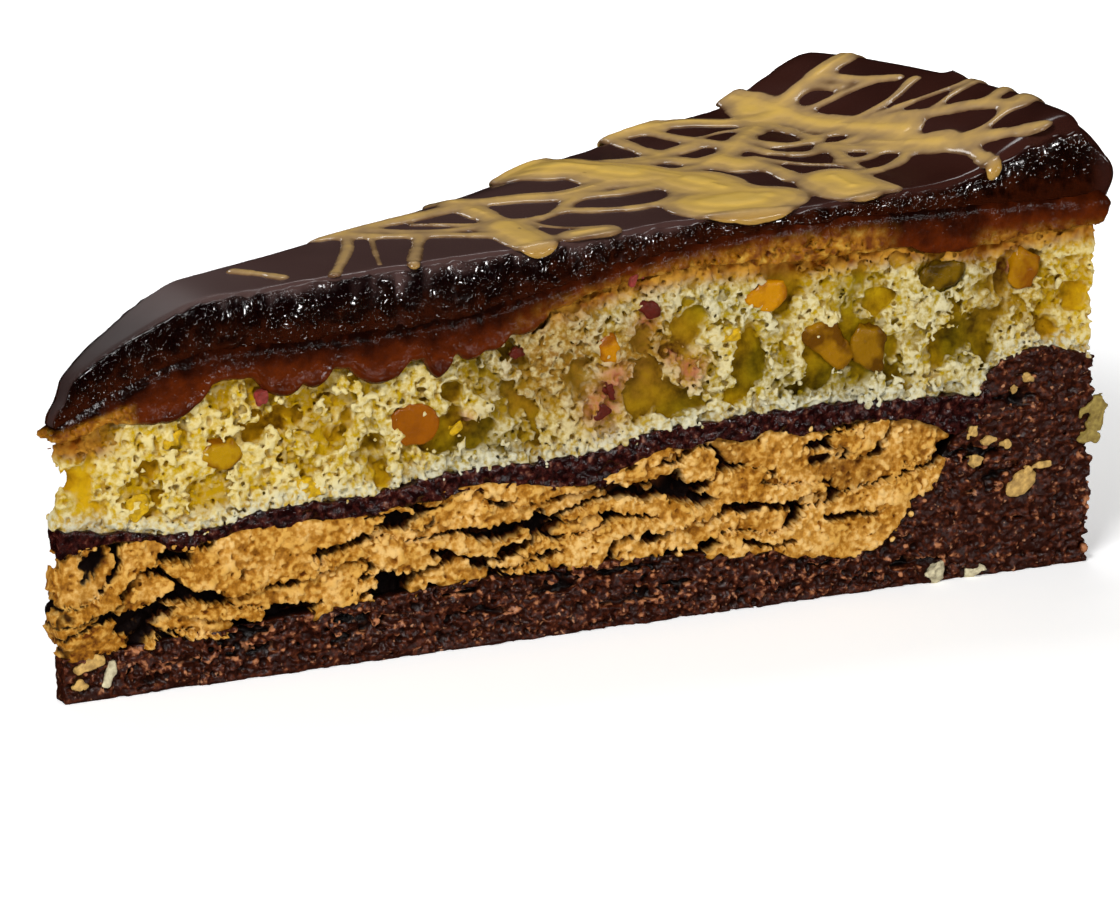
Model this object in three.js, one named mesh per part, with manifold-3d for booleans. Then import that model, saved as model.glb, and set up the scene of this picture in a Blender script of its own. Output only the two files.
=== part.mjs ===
// A slice of a round layer cake, cut as a wedge. From the bottom it has a dark crumb base with a raised
// rim wall, a filling of flaky shredded pastry, a thin dark ganache, a pistachio sponge with nut pieces
// in its cut faces, a brown ganache and a dark glaze with pistachio cream drizzled over it.
// Millimetres, +Z up, the tip at -X and the rim at +X, the origin at the middle of the footprint.

import * as THREE from "three";
import { mergeVertices } from "three/addons/utils/BufferGeometryUtils.js";
import Module from "manifold-3d";

const wasm = await Module();
wasm.setup();

// The whole cake and how it is cut
const CAKE_RADIUS = 130;
const SLICES_IN_CAKE = 14;
const TIP_WIDTH = 2.4;
const TIP_FROM_CENTRE = 0.5;
const LAYER_GAP = 0.3;

// How finely each layer is split: columns run along the slice, lanes across it and rows up it. The filling
// and the thin ganache stop before the rim. The filling has a row for each ledge and each gap under one.
const COLUMNS = 40;
const FILLING_COLUMNS = 34;
const THIN_GANACHE_COLUMNS = 35;
const LANES = 4;
const GLAZE_LANES = 8;
const FLAKE_LEDGES = 3;
const ROWS = { base: 3, filling: 2 * FLAKE_LEDGES, thinGanache: 2, sponge: 5, brownGanache: 2, glaze: 3 };

// Heights of the layers, as [distance from the tip, height above the plate]
const BASE_TOP = [[0, 5.4], [14, 6], [40, 7.6], [60, 8.6], [85, 7.4], [105, 8.2], [110.5, 16], [113.5, 22.2],
  [117, 26.6], [122, 28.2], [130, 26.4]];
const FILLING_TOP = [[0, 17.6], [8, 18.2], [16, 16.9], [24, 18], [36, 17.6], [50, 19.6], [65, 18.2], [72, 20.8],
  [82, 21.9], [95, 21.4], [106, 21.2], [110.5, 19.2]];
const THIN_GANACHE_TOP = [[0, 20.4], [6, 19.6], [16, 18.4], [24, 20], [36, 20.1], [48, 21.7], [60, 21.6],
  [72, 23.2], [86, 24.1], [105, 23.8], [113.5, 23.4]];
const SPONGE_TOP = [[0, 31], [8, 32.6], [20, 35.8], [35, 37.4], [50, 38.6], [58, 39.6], [66, 41.5], [75, 42.8],
  [90, 42.2], [105, 42.4], [114, 41.6], [122, 42.6], [130, 42.8]];
const BROWN_GANACHE_TOP = [[0, 32.6], [7, 35.9], [16, 39], [30, 39.4], [50, 40.4], [58, 42.1], [65, 43.5],
  [73, 45], [80, 46], [92, 46.8], [106, 46.8], [130, 46.4]];
const GLAZE_TOP = [[0, 35], [2, 37.3], [5, 39.5], [9, 41.7], [13, 43.6], [17, 45], [24, 45.6], [33, 46.1],
  [50, 46.8], [66, 47.6], [76, 48.4], [90, 48.3], [100, 49], [114, 50.3], [119, 52.6], [124, 54.6],
  [127.5, 54.8], [130, 53.4]];

// The rim of the glaze: it swells past the sponge, rounds over, is fuller in the middle of its arc and leans
// up towards the near side
const GLAZE_OVERHANG = 1.3;
const GLAZE_SHOULDER = 2.6;
const GLAZE_CROWN = 0.6;
const GLAZE_NEAR_LEAN = 1;
const GLAZE_CROWN_FROM = 95;
// How far the glaze drops to its cut edges, as [distance from the tip, drop], and how far it draws in there
const GLAZE_EDGE_DROP = [[0, 0.5], [112, 0.5], [124, 2.2], [130, 2.2]];
const GLAZE_EDGE_LEAN = 0.5;
const GLAZE_TIP_SLOPE = 1.2;
const BROWN_GANACHE_OVERHANG = 0.8;

// Drips of the brown ganache down the sponge, as [distance from the tip, half width, lowest height]
const DRIPS = [[1, 4, 30.8], [12, 6, 31.6], [26.5, 4, 33.2], [30, 3, 33.8], [38, 5, 33.3], [45, 2.5, 33.2],
  [49, 3, 34.8], [55, 4, 37]];
const FAR_DRIP_SHIFT = 8;

// Relief of the cut faces: how deep it is, and the length and height of its lumps
const SPONGE_RELIEF = { depth: 0.55, length: 4.5, height: 3, seed: 1 };
const BASE_RELIEF = { depth: 0.5, length: 4, height: 2.4, seed: 2 };
const THIN_GANACHE_RELIEF = { depth: 0.35, length: 3, height: 2, seed: 3 };
const BROWN_GANACHE_RELIEF = { depth: 0.3, length: 4, height: 4, seed: 4 };
const GLAZE_RELIEF = { depth: 0.3, length: 3.2, height: 3, seed: 5 };
const FLAKE_RELIEF = { depth: 0.6, length: 3.4, height: 1.5, seed: 6 };
const FLAKE_LEDGE_DEPTH = 0.7;
const FLAKE_LEDGE_WANDER = 0.12;
const FLAKE_LEDGE_LENGTH = 14;
const FLAKE_TIP_JUT = 2;
const FLAKE_TIP_HEIGHT_SHARE = 0.35;
const FULL_RELIEF_WIDTH = 12;
const FINE_LUMPS = { share: 0.3, times: 2.3 };

// Nut pieces in the near cut face: distance from the tip, height, length, width and turn in the face
const NEAR_NUTS = [
  { along: 19.4, up: 27.3, length: 4.6, width: 4.2, turn: 20 },
  { along: 42.3, up: 27.9, length: 6.4, width: 5, turn: -20 },
  { along: 66.3, up: 34, length: 4, width: 2.6, turn: 80 },
  { along: 86.2, up: 38.2, length: 4.6, width: 4.2, turn: 0 },
  { along: 94.3, up: 31.9, length: 7, width: 5, turn: -48 },
  { along: 99.6, up: 30.7, length: 6.2, width: 4.2, turn: -70 },
  { along: 109.5, up: 38.6, length: 7.4, width: 3.8, turn: 6 },
  { along: 120.1, up: 38.2, length: 5.4, width: 3.8, turn: 70 },
];
// Nut pieces in the far cut face: evenly spaced along it, rising and falling round a share of the sponge's
// height, with sizes drawn from a seed
const FAR_NUTS = {
  count: 6, from: 24, to: 119, middle: 0.46, swing: 0.12, phase: 2.4,
  shortest: 4.2, longest: 6.6, slimness: 0.75, seed: 11,
};
const NUT_DEPTH = 3.6;
const NUT_PROUD = 0.5;
const NUT_ROUGHNESS = 0.12;
const NUT_SEED = 31;

// Large bubbles that the knife opened in the sponge: spaced along each face, in rows that rise and fall
const BUBBLES = {
  count: 6, from: 12, to: 104, middle: 0.48, swing: 0.2, phase: 2.1, stray: 0.3,
  widest: 3.2, narrowest: 2, flatness: 0.85, depth: 1.6, fromNuts: 1, seed: 21,
};

// Thick cream on the glaze, in strands and in pools. Places are [x, y] in plan from the cake's centre, with
// the near face on the -Y side. A pool's turn is from +X towards +Y, in degrees.
const STRANDS = [
  { width: 2.9, points: [[39.5, 6.8], [48, 6.7], [58, 7]] },
  { width: 3.6, points: [[58.5, 11], [59, 6], [58.6, -3]] },
  { width: 3.6, points: [[59, 8], [66, 4.4], [70, 1.8], [75, 1.8], [80, 3]] },
  { width: 2.6, points: [[89.7, 18], [90, 10.5]] },
  { width: 2.5, points: [[94.6, 19], [96.2, 13], [98.5, 6.5]] },
  { width: 4.2, points: [[90, 18.6], [96, 19.6], [101, 18.8], [105, 16.3], [109, 15]] },
  { width: 2.9, points: [[83, 10.5], [87, 9.8], [95.5, 10.5]] },
  { width: 3.4, points: [[84, 2], [89, 2.6], [94, 3.6], [98, 6], [102, 9], [107, 12.5]] },
  { width: 3, points: [[96.3, 0], [96.2, -5], [97, -10]] },
  { width: 2.4, points: [[99.6, 6], [100.5, 1], [103, -2], [107, -1], [111, -7]] },
  { width: 4.6, points: [[111.5, 23], [112, 17], [112, 8], [113.5, 0], [114.8, -6]] },
  { width: 3.7, points: [[112, 16.5], [118, 17], [126, 18.6]] },
  { width: 2.4, points: [[115.5, -0.5], [118.8, -7], [122.8, -17]] },
  { width: 3, points: [[114.3, -13], [114.8, -18], [113, -23]] },
  { width: 2.8, points: [[115.6, -17], [119.8, -25]] },
];
const POOLS = [
  { x: 57.3, y: -8, length: 13, width: 6.5, turn: 95 },
  { x: 63.8, y: -12.4, length: 8, width: 4.4, turn: -15 },
  { x: 77.5, y: 9, length: 17, width: 10, turn: -57 },
  { x: 84.5, y: -3, length: 17, width: 10, turn: -75 },
  { x: 85, y: -13, length: 18, width: 12.5, turn: 0 },
  { x: 94.2, y: 1.2, length: 9.5, width: 6, turn: -77 },
  { x: 98, y: -15, length: 12, width: 8.2, turn: 100 },
  { x: 112.7, y: -9, length: 13, width: 4.6, turn: -70 },
];
const CREAM_HEIGHT_SHARE = 0.5;
const CREAM_TALLEST = 1.9;
const CREAM_SINK = 0.45;
const STRAND_SIDES = 6;
const STRAND_STEP = 7;
const POOL_SEED = 51;

// Rounds that bring a place in the footprint to its shares along and across the slice
const FOOTPRINT_TURNS = 6;

const FACE_HALF_ANGLE = Math.PI / SLICES_IN_CAKE;
const RIM_HALF_WIDTH = CAKE_RADIUS * Math.sin(FACE_HALF_ANGLE);

// Repeatable values between 0 and 1, and smooth noise between -1 and 1 over two directions
function draw(index, seed) {
  const mixed = Math.sin(index * 127.1 + seed * 311.7) * 43758.5453;
  return mixed - Math.floor(mixed);
}

function smoothNoise(a, b, seed) {
  const column = Math.floor(a);
  const row = Math.floor(b);
  const easeA = THREE.MathUtils.smoothstep(a - column, 0, 1);
  const easeB = THREE.MathUtils.smoothstep(b - row, 0, 1);
  const corner = (i, j) => draw((column + i) + 57 * (row + j), seed);
  const low = THREE.MathUtils.lerp(corner(0, 0), corner(1, 0), easeA);
  const high = THREE.MathUtils.lerp(corner(0, 1), corner(1, 1), easeA);
  return 2 * THREE.MathUtils.lerp(low, high, easeB) - 1;
}

// Heights between the given stations, with straight or smooth runs
function heightLine(stations, Line = THREE.LinearInterpolant) {
  const distances = new Float32Array(stations.map(([distance]) => distance));
  const heights = new Float32Array(stations.map(([, height]) => height));
  const line = new Line(distances, heights, 1);
  return (distance) => line.evaluate(distance)[0];
}

const baseTop = heightLine(BASE_TOP);
const fillingTop = heightLine(FILLING_TOP);
const thinGanacheTop = heightLine(THIN_GANACHE_TOP);
const spongeTop = heightLine(SPONGE_TOP);
const brownGanacheTop = heightLine(BROWN_GANACHE_TOP, THREE.CubicInterpolant);
const glazeTop = heightLine(GLAZE_TOP, THREE.CubicInterpolant);
const glazeEdgeDrop = heightLine(GLAZE_EDGE_DROP);

// Where the sponge rests: on the thin ganache, and on the base's wall at the rim
function spongeFloor(distance) {
  return Math.max(thinGanacheTop(distance), baseTop(distance)) + LAYER_GAP;
}

// Where the brown ganache ends on the sponge: lower at the cut faces, where drips run down them
function spongeRoof(distance, across) {
  const plain = spongeTop(distance);
  if (Math.abs(across) < 1) {
    return plain;
  }
  const shift = across > 0 ? FAR_DRIP_SHIFT : 0;
  const lowest = DRIPS.map(([place, halfWidth, height]) => {
    const off = (distance - shift - place) / halfWidth;
    return Math.abs(off) < 1 ? THREE.MathUtils.lerp(height, plain, off * off) : plain;
  });
  return Math.min(plain, ...lowest);
}

// The glaze's upper side: full at the rim, most so on the near side, and lower along its cut edges
function glazeRoof(distance, across) {
  const rimShare = THREE.MathUtils.smoothstep(distance, GLAZE_CROWN_FROM, CAKE_RADIUS);
  const crown = GLAZE_CROWN * (1 - across * across) - GLAZE_NEAR_LEAN * across;
  const drop = Math.abs(across) === 1 ? glazeEdgeDrop(distance) : 0;
  return glazeTop(distance) + rimShare * crown - drop;
}

// The footprint: along runs from 0 at the tip to 1 at the rim, across from -1 to 1
function footprint(along, across) {
  const rimY = across * RIM_HALF_WIDTH;
  const rimX = Math.sqrt(CAKE_RADIUS ** 2 - rimY ** 2);
  return [
    THREE.MathUtils.lerp(TIP_FROM_CENTRE, rimX, along),
    THREE.MathUtils.lerp(across * TIP_WIDTH / 2, rimY, along),
  ];
}

function halfWidthAt(along) {
  return footprint(along, 1)[1];
}

// Lumps of a broken surface, as coarse noise with some finer noise
function lumps({ depth, length, height, seed }, distance, up, side) {
  const coarse = smoothNoise(distance / length, up / height, seed + side);
  const { share, times } = FINE_LUMPS;
  const fine = smoothNoise(times * distance / length, times * up / height, seed + side + 0.5);
  return depth * THREE.MathUtils.lerp(coarse, fine, share);
}

// Geometry with only its places left and its shared corners joined
function bareGeometry(geometry) {
  geometry.deleteAttribute("normal");
  geometry.deleteAttribute("uv");
  return mergeVertices(geometry);
}

// A box split into columns, lanes and rows. Its upper and lower faces are split along opposite diagonals,
// so a box that is made a quarter turn round has the lower face of one and fits the upper face of another.
function splitBox(columns, lanes, rows, quarterTurn) {
  if (quarterTurn) {
    return new THREE.BoxGeometry(1, 1, 1, lanes, columns, rows).rotateZ(-Math.PI / 2);
  }
  return new THREE.BoxGeometry(1, 1, 1, columns, lanes, rows);
}

// One layer: a split box laid between two heights of the wedge. The relief moves the outer faces in or
// out: the cut faces sideways, the tip and the rim lengthwise.
function layer({ columns = COLUMNS, lanes = LANES, rows, quarterTurn, floor, roof, ...reliefs }) {
  const { relief, tipRelief, rimRelief } = reliefs;
  const box = splitBox(columns, lanes, rows, quarterTurn);
  const places = box.getAttribute("position");
  for (let i = 0; i < places.count; i += 1) {
    const along = (places.getX(i) + 0.5) * columns / COLUMNS;
    const across = Math.sin(places.getY(i) * Math.PI);
    const up = places.getZ(i) + 0.5;
    const distance = along * CAKE_RADIUS;
    const side = Math.abs(across) > 0.999 ? Math.sign(across) : 0;
    const z = THREE.MathUtils.lerp(floor(distance, side || across), roof(distance, side || across), up);
    let [x, y] = footprint(along, across);
    if (side !== 0) {
      const room = Math.min(1, halfWidthAt(along) / FULL_RELIEF_WIDTH);
      y += side * room * relief(distance, z, up, side);
    }
    if (along === 0) {
      x -= tipRelief(z, up);
    }
    if (along === 1) {
      x += rimRelief(z, up, across);
    }
    places.setXYZ(i, x, y, z);
  }
  return bareGeometry(box);
}

const none = () => 0;

// The dark base: a flat floor whose rim is raised into a wall round the filling
function baseGeometry() {
  return layer({
    rows: ROWS.base,
    floor: () => 0,
    roof: baseTop,
    relief: (distance, z, up, side) => (up > 0 ? lumps(BASE_RELIEF, distance, z, side) : 0),
    tipRelief: none,
    rimRelief: none,
  });
}

// The flaky filling: ledges of shredded pastry with gaps between them, jutting out at the tip
function fillingGeometry() {
  const ledge = (distance, up, side) => {
    const wander = smoothNoise(distance / FLAKE_LEDGE_LENGTH, side, FLAKE_RELIEF.seed);
    return -Math.cos(2 * Math.PI * (FLAKE_LEDGES * up + FLAKE_LEDGE_WANDER * wander));
  };
  return layer({
    columns: FILLING_COLUMNS,
    rows: ROWS.filling,
    floor: (distance) => baseTop(distance) + LAYER_GAP,
    roof: fillingTop,
    relief: (distance, z, up, side) =>
      FLAKE_LEDGE_DEPTH * ledge(distance, up, side) + lumps(FLAKE_RELIEF, distance, z, side),
    tipRelief: (z, up) => FLAKE_TIP_JUT * Math.cos(2 * Math.PI * (up - FLAKE_TIP_HEIGHT_SHARE)),
    rimRelief: none,
  });
}

// The thin dark ganache between filling and sponge
function thinGanacheGeometry() {
  return layer({
    columns: THIN_GANACHE_COLUMNS,
    rows: ROWS.thinGanache,
    floor: (distance) => Math.max(fillingTop(distance), baseTop(distance)) + LAYER_GAP,
    roof: thinGanacheTop,
    relief: (distance, z, up, side) => lumps(THIN_GANACHE_RELIEF, distance, z, side),
    tipRelief: none,
    rimRelief: none,
  });
}

// The sponge before the nuts and bubbles are cut into it
function spongeGeometry() {
  return layer({
    rows: ROWS.sponge,
    floor: spongeFloor,
    roof: spongeRoof,
    relief: (distance, z, up, side) => (up < 1 ? lumps(SPONGE_RELIEF, distance, z, side) : 0),
    tipRelief: (z, up) => (up < 1 ? lumps(SPONGE_RELIEF, 0, z, 0) : 0),
    rimRelief: (z, up, across) => (up < 1 ? lumps(SPONGE_RELIEF, CAKE_RADIUS * across / 2, z, 0) : 0),
  });
}

// The brown ganache, which the drips make thicker along the cut faces
function brownGanacheGeometry() {
  return layer({
    rows: ROWS.brownGanache,
    quarterTurn: true,
    floor: (distance, across) => spongeRoof(distance, across) + LAYER_GAP,
    roof: brownGanacheTop,
    relief: (distance, z, up, side) => (up > 0 ? lumps(BROWN_GANACHE_RELIEF, distance, z, side) : 0),
    tipRelief: none,
    rimRelief: (z, up) => BROWN_GANACHE_OVERHANG * up,
  });
}

// The glaze, with a swollen rim that rounds over its shoulder
function glazeGeometry() {
  return layer({
    lanes: GLAZE_LANES,
    rows: ROWS.glaze,
    floor: (distance) => brownGanacheTop(distance) + LAYER_GAP,
    roof: glazeRoof,
    relief: (distance, z, up, side) => lumps(GLAZE_RELIEF, distance, z, side) - GLAZE_EDGE_LEAN * up ** 3,
    tipRelief: (z, up) => -GLAZE_TIP_SLOPE * up ** 2,
    rimRelief: (z, up) => {
      const swell = THREE.MathUtils.lerp(BROWN_GANACHE_OVERHANG, GLAZE_OVERHANG, Math.sin(Math.PI * up));
      return swell - GLAZE_SHOULDER * up ** 4;
    },
  });
}

function toSolid(geometry) {
  return new wasm.Manifold(new wasm.Mesh({
    numProp: 3,
    vertProperties: new Float32Array(geometry.getAttribute("position").array),
    triVerts: new Uint32Array(geometry.getIndex().array),
  }));
}

function toGeometry(solid) {
  const { vertProperties, triVerts } = solid.getMesh();
  const geometry = new THREE.BufferGeometry();
  geometry.setAttribute("position", new THREE.BufferAttribute(vertProperties, 3));
  geometry.setIndex(new THREE.BufferAttribute(triVerts, 1));
  return geometry;
}

// A place on a cut face, sunk by a depth, and the turn that lays +X along that face and +Z up
function onFace(alongDistance, up, side, sunk) {
  const along = alongDistance / CAKE_RADIUS;
  const [x, y] = footprint(along, side);
  const run = Math.atan2(side * (RIM_HALF_WIDTH - TIP_WIDTH / 2), CAKE_RADIUS * Math.cos(FACE_HALF_ANGLE));
  const frame = new THREE.Matrix4().makeRotationZ(run);
  const inward = new THREE.Vector3(0, -side * sunk, 0).applyMatrix4(frame);
  return frame.setPosition(x + inward.x, y + inward.y, up);
}

// A rounded lump with a slightly uneven surface
function lumpGeometry(length, depth, width, seed) {
  const lump = bareGeometry(new THREE.IcosahedronGeometry(1, 1));
  const places = lump.getAttribute("position");
  const place = new THREE.Vector3();
  for (let i = 0; i < places.count; i += 1) {
    place.fromBufferAttribute(places, i);
    place.multiplyScalar(1 + NUT_ROUGHNESS * (2 * draw(i, seed) - 1));
    places.setXYZ(i, place.x * length / 2, place.y * depth / 2, place.z * width / 2);
  }
  return lump;
}

function nutGeometry(nut, side, seed, spare) {
  const lump = lumpGeometry(nut.length + 2 * spare, NUT_DEPTH + 2 * spare, nut.width + 2 * spare, seed);
  lump.rotateY(-THREE.MathUtils.degToRad(nut.turn));
  return lump.applyMatrix4(onFace(nut.along, nut.up, side, NUT_DEPTH / 2 - NUT_PROUD));
}

// Nuts of the far face, one after another along it
function farNuts() {
  const { count, from, to, middle, swing, shortest, longest, seed } = FAR_NUTS;
  return Array.from({ length: count }, (unused, i) => {
    const along = THREE.MathUtils.lerp(from, to, i / (count - 1));
    const length = THREE.MathUtils.lerp(shortest, longest, draw(i, seed));
    const share = middle + swing * Math.sin(FAR_NUTS.phase * i);
    return {
      along,
      up: THREE.MathUtils.lerp(spongeFloor(along), spongeTop(along), share),
      length,
      width: FAR_NUTS.slimness * length,
      turn: 180 * draw(i, seed + 1),
    };
  });
}

// The opened bubbles of one cut face, each left out where it would meet a nut
function bubbleGeometries(side, nuts) {
  const { count, from, to, middle, swing, phase, stray, widest, narrowest, seed } = BUBBLES;
  const bubbles = [];
  for (let i = 0; i < count; i += 1) {
    const along = THREE.MathUtils.lerp(from, to, (i + stray * draw(i, seed + side)) / (count - 1));
    const share = middle - swing * Math.cos(phase * i + side);
    const up = THREE.MathUtils.lerp(spongeFloor(along), spongeTop(along), share);
    const radius = THREE.MathUtils.lerp(narrowest, widest, draw(i, seed + 2 + side));
    const meetsNut = nuts.some((nut) =>
      Math.hypot(nut.along - along, nut.up - up) < radius + nut.length / 2 + BUBBLES.fromNuts);
    if (!meetsNut) {
      const bubble = lumpGeometry(2 * radius, 2 * BUBBLES.depth, 2 * BUBBLES.flatness * radius, seed + i);
      bubbles.push(bubble.applyMatrix4(onFace(along, up, side, 0)));
    }
  }
  return bubbles;
}

// The height of the glaze over a place in the footprint
function glazeHeightOver(x, y) {
  let along = x / CAKE_RADIUS;
  let across = 0;
  for (let turn = 0; turn < FOOTPRINT_TURNS; turn += 1) {
    across = THREE.MathUtils.clamp(y / halfWidthAt(along), -1, 1);
    along = (x - TIP_FROM_CENTRE) / (footprint(1, across)[0] - TIP_FROM_CENTRE);
  }
  return glazeRoof(along * CAKE_RADIUS, across);
}

// Cream that was made lying level, laid on the glaze and sunk into it a little
function layOnGlaze(cream, halfHeight) {
  const places = cream.getAttribute("position");
  for (let i = 0; i < places.count; i += 1) {
    const lift = glazeHeightOver(places.getX(i), places.getY(i)) + halfHeight - CREAM_SINK;
    places.setZ(i, places.getZ(i) + lift);
  }
  return cream;
}

function creamHeight(width) {
  return Math.min(CREAM_TALLEST, CREAM_HEIGHT_SHARE * width);
}

// A strand of cream: a flattened round section carried along a level curve
function strandGeometry({ width, points }) {
  const halfHeight = creamHeight(width) / 2;
  const route = new THREE.CatmullRomCurve3(points.map(([x, y]) => new THREE.Vector3(x, y, 0)));
  const section = new THREE.Shape();
  section.absellipse(0, 0, halfHeight, width / 2, 0, 2 * Math.PI, false, 0);
  const strand = bareGeometry(new THREE.ExtrudeGeometry(section, {
    steps: Math.ceil(route.getLength() / STRAND_STEP),
    curveSegments: STRAND_SIDES / 2,
    extrudePath: route,
  }));
  return layOnGlaze(strand, halfHeight);
}

// A pool of cream: a flattened lump
function poolGeometry({ x, y, length, width, turn }, index) {
  const height = creamHeight(width);
  const pool = lumpGeometry(length, width, height, POOL_SEED + index);
  pool.rotateZ(THREE.MathUtils.degToRad(turn)).translate(x, y, 0);
  return layOnGlaze(pool, height / 2);
}

const COLOURS = {
  base: { color: 0x46281c, roughness: 0.9 },
  filling: { color: 0xd7a55a, roughness: 0.85 },
  thinGanache: { color: 0x2b1212, roughness: 0.4 },
  sponge: { color: 0xd7d7a0, roughness: 0.9 },
  brownGanache: { color: 0x502814, roughness: 0.35 },
  glaze: { color: 0x3c2a2a, roughness: 0.25 },
  nut: { color: 0xa8861e, roughness: 0.6 },
};

function named(name, geometry, look) {
  const mesh = new THREE.Mesh(geometry, new THREE.MeshStandardMaterial({ ...look, metalness: 0 }));
  mesh.name = name;
  return mesh;
}

const slice = new THREE.Group();
slice.add(named("cocoa_base", baseGeometry(), COLOURS.base));
slice.add(named("kadayif_filling", fillingGeometry(), COLOURS.filling));
slice.add(named("dark_ganache", thinGanacheGeometry(), COLOURS.thinGanache));
slice.add(named("milk_ganache", brownGanacheGeometry(), COLOURS.brownGanache));

// Nuts are set in sockets of the sponge, which is also opened by its bubbles
let sponge = toSolid(spongeGeometry());
for (const [side, label, nuts] of [[-1, "near", NEAR_NUTS], [1, "far", farNuts()]]) {
  nuts.forEach((nut, i) => {
    const seed = NUT_SEED + nuts.length * side + i;
    slice.add(named(`nut_${label}_${i + 1}`, nutGeometry(nut, side, seed, 0), COLOURS.nut));
    sponge = sponge.subtract(toSolid(nutGeometry(nut, side, seed, LAYER_GAP)));
  });
  for (const bubble of bubbleGeometries(side, nuts)) {
    sponge = sponge.subtract(toSolid(bubble));
  }
}
slice.add(named("pistachio_sponge", toGeometry(sponge), COLOURS.sponge));

let glaze = toSolid(glazeGeometry());
for (const cream of [...STRANDS.map(strandGeometry), ...POOLS.map(poolGeometry)]) {
  glaze = glaze.add(toSolid(cream));
}
slice.add(named("chocolate_glaze", toGeometry(glaze), COLOURS.glaze));

// The origin goes to the middle of the footprint
const middle = new THREE.Box3().setFromObject(slice).getCenter(new THREE.Vector3());
slice.position.set(-middle.x, -middle.y, 0);

const group = new THREE.Group();
group.add(slice);

export default group;
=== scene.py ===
# The looks of a slice of layer cake: crumb, flakes, ganache, glaze, drizzled cream, nut pieces and crumbs.
# Shapes are worked out in millimetres in the cake's own frame: the cake's centre at the origin, the middle
# line of the slice along +X, the near cut face on the -Y side and the surface it stands on at z = 0.
import math
from types import SimpleNamespace

import bpy
import numpy as np
import openvdb
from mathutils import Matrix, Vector


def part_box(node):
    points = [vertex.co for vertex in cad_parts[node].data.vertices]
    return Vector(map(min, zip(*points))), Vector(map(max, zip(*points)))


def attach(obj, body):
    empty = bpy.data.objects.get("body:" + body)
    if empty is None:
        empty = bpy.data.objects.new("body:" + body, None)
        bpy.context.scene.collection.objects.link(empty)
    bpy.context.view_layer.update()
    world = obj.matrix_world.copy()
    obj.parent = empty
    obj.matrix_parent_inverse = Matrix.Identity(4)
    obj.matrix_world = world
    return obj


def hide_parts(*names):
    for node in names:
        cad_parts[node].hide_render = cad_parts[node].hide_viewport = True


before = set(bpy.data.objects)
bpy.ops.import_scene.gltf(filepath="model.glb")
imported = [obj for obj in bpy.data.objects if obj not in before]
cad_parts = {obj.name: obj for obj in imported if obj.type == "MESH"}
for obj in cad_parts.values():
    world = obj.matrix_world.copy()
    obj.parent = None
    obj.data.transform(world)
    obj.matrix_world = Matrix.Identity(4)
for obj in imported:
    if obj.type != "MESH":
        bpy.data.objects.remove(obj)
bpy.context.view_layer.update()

MM = 0.001

# The wedge, as in the part's source
CAKE_RADIUS = 130.0
SLICES_IN_CAKE = 14
TIP_HALF_WIDTH = 1.2
TIP_FROM_CENTRE = 0.5
FACE_HALF_ANGLE = math.pi / SLICES_IN_CAKE
RIM_HALF_WIDTH = CAKE_RADIUS * math.sin(FACE_HALF_ANGLE)
FRAME_SHIFT = TIP_FROM_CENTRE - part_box("cocoa_base")[0].x / MM

# Heights of the layers, as (distance from the tip, height)
BASE_TOP = [(0, 5.4), (14, 6), (40, 7.6), (60, 8.6), (85, 7.4), (105, 8.2), (110.5, 16), (113.5, 22.2),
            (117, 26.6), (122, 28.2), (130, 26.4)]
FILLING_TOP = [(0, 17.6), (8, 18.2), (16, 16.9), (24, 18), (36, 17.6), (50, 19.6), (65, 18.2), (72, 20.8),
               (82, 21.9), (95, 21.4), (106, 21.2), (110.5, 19.2)]
SEAM_TOP = [(0, 20.4), (6, 19.6), (16, 18.4), (24, 20), (36, 20.1), (48, 21.7), (60, 21.6), (72, 23.2),
            (86, 24.1), (105, 23.8), (113.5, 23.4)]
SPONGE_TOP = [(0, 31), (8, 32.6), (20, 35.8), (35, 37.4), (50, 38.6), (58, 39.6), (66, 41.5), (75, 42.8),
              (90, 42.2), (105, 42.4), (114, 41.6), (122, 42.6), (130, 42.8)]
MILK_TOP = [(0, 32.6), (7, 35.9), (16, 39), (30, 39.4), (50, 40.4), (58, 42.1), (65, 43.5), (73, 45),
            (80, 46), (92, 46.8), (106, 46.8), (130, 46.4)]
GLAZE_TOP = [(0, 35), (2, 37.3), (5, 39.5), (9, 41.7), (13, 43.6), (17, 45), (24, 45.6), (33, 46.1),
             (50, 46.8), (66, 47.6), (76, 48.4), (90, 48.3), (100, 49), (114, 50.3), (119, 52.6), (124, 54.6),
             (127.5, 54.8), (130, 53.4)]
# How far the glaze drops to its cut edges
GLAZE_EDGE_DROP = [(0, 0.5), (112, 0.6), (124, 2.2), (130, 2.2)]
FILLING_END = 113.0
SEAM_END = 116.0

# Drips of the brown ganache down the sponge, as (distance from the tip, half width, lowest height)
DRIPS = [(1, 4, 30.8), (12, 6, 31.6), (26.5, 4, 33.2), (30, 3, 33.8), (38, 5, 33.3), (45, 2.5, 33.2),
         (49, 3, 34.8), (55, 4, 37), (109, 4.6, 41.2)]
FAR_DRIP_SHIFT = 8.0

# The camera, as fitted to the photograph's 1120 x 919 frame
CAMERA_AZIMUTH = -34.47
CAMERA_ELEVATION = 18.0
CAMERA_TARGET = (66.06, -3.31, 17.45)
CAMERA_DISTANCE = 504.2
CAMERA_LENS = 136.9
SENSOR_WIDTH = 36.0

# How finely the broken layers are modelled: finest in a slab along the near cut face
FACE_VOXEL = 0.2
BODY_VOXEL = 0.42
MILK_VOXEL = 0.26
SLAB_DEPTH = 3.6
SLAB_LAP = 0.3
FLAT_MERGE = 0.05
# The heights between which each broken layer lies
BASE_SPAN = (-0.6, 30)
FILLING_SPAN = (3, 25)
SEAM_SPAN = (13, 29)
SPONGE_SPAN = (17, 45)
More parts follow.
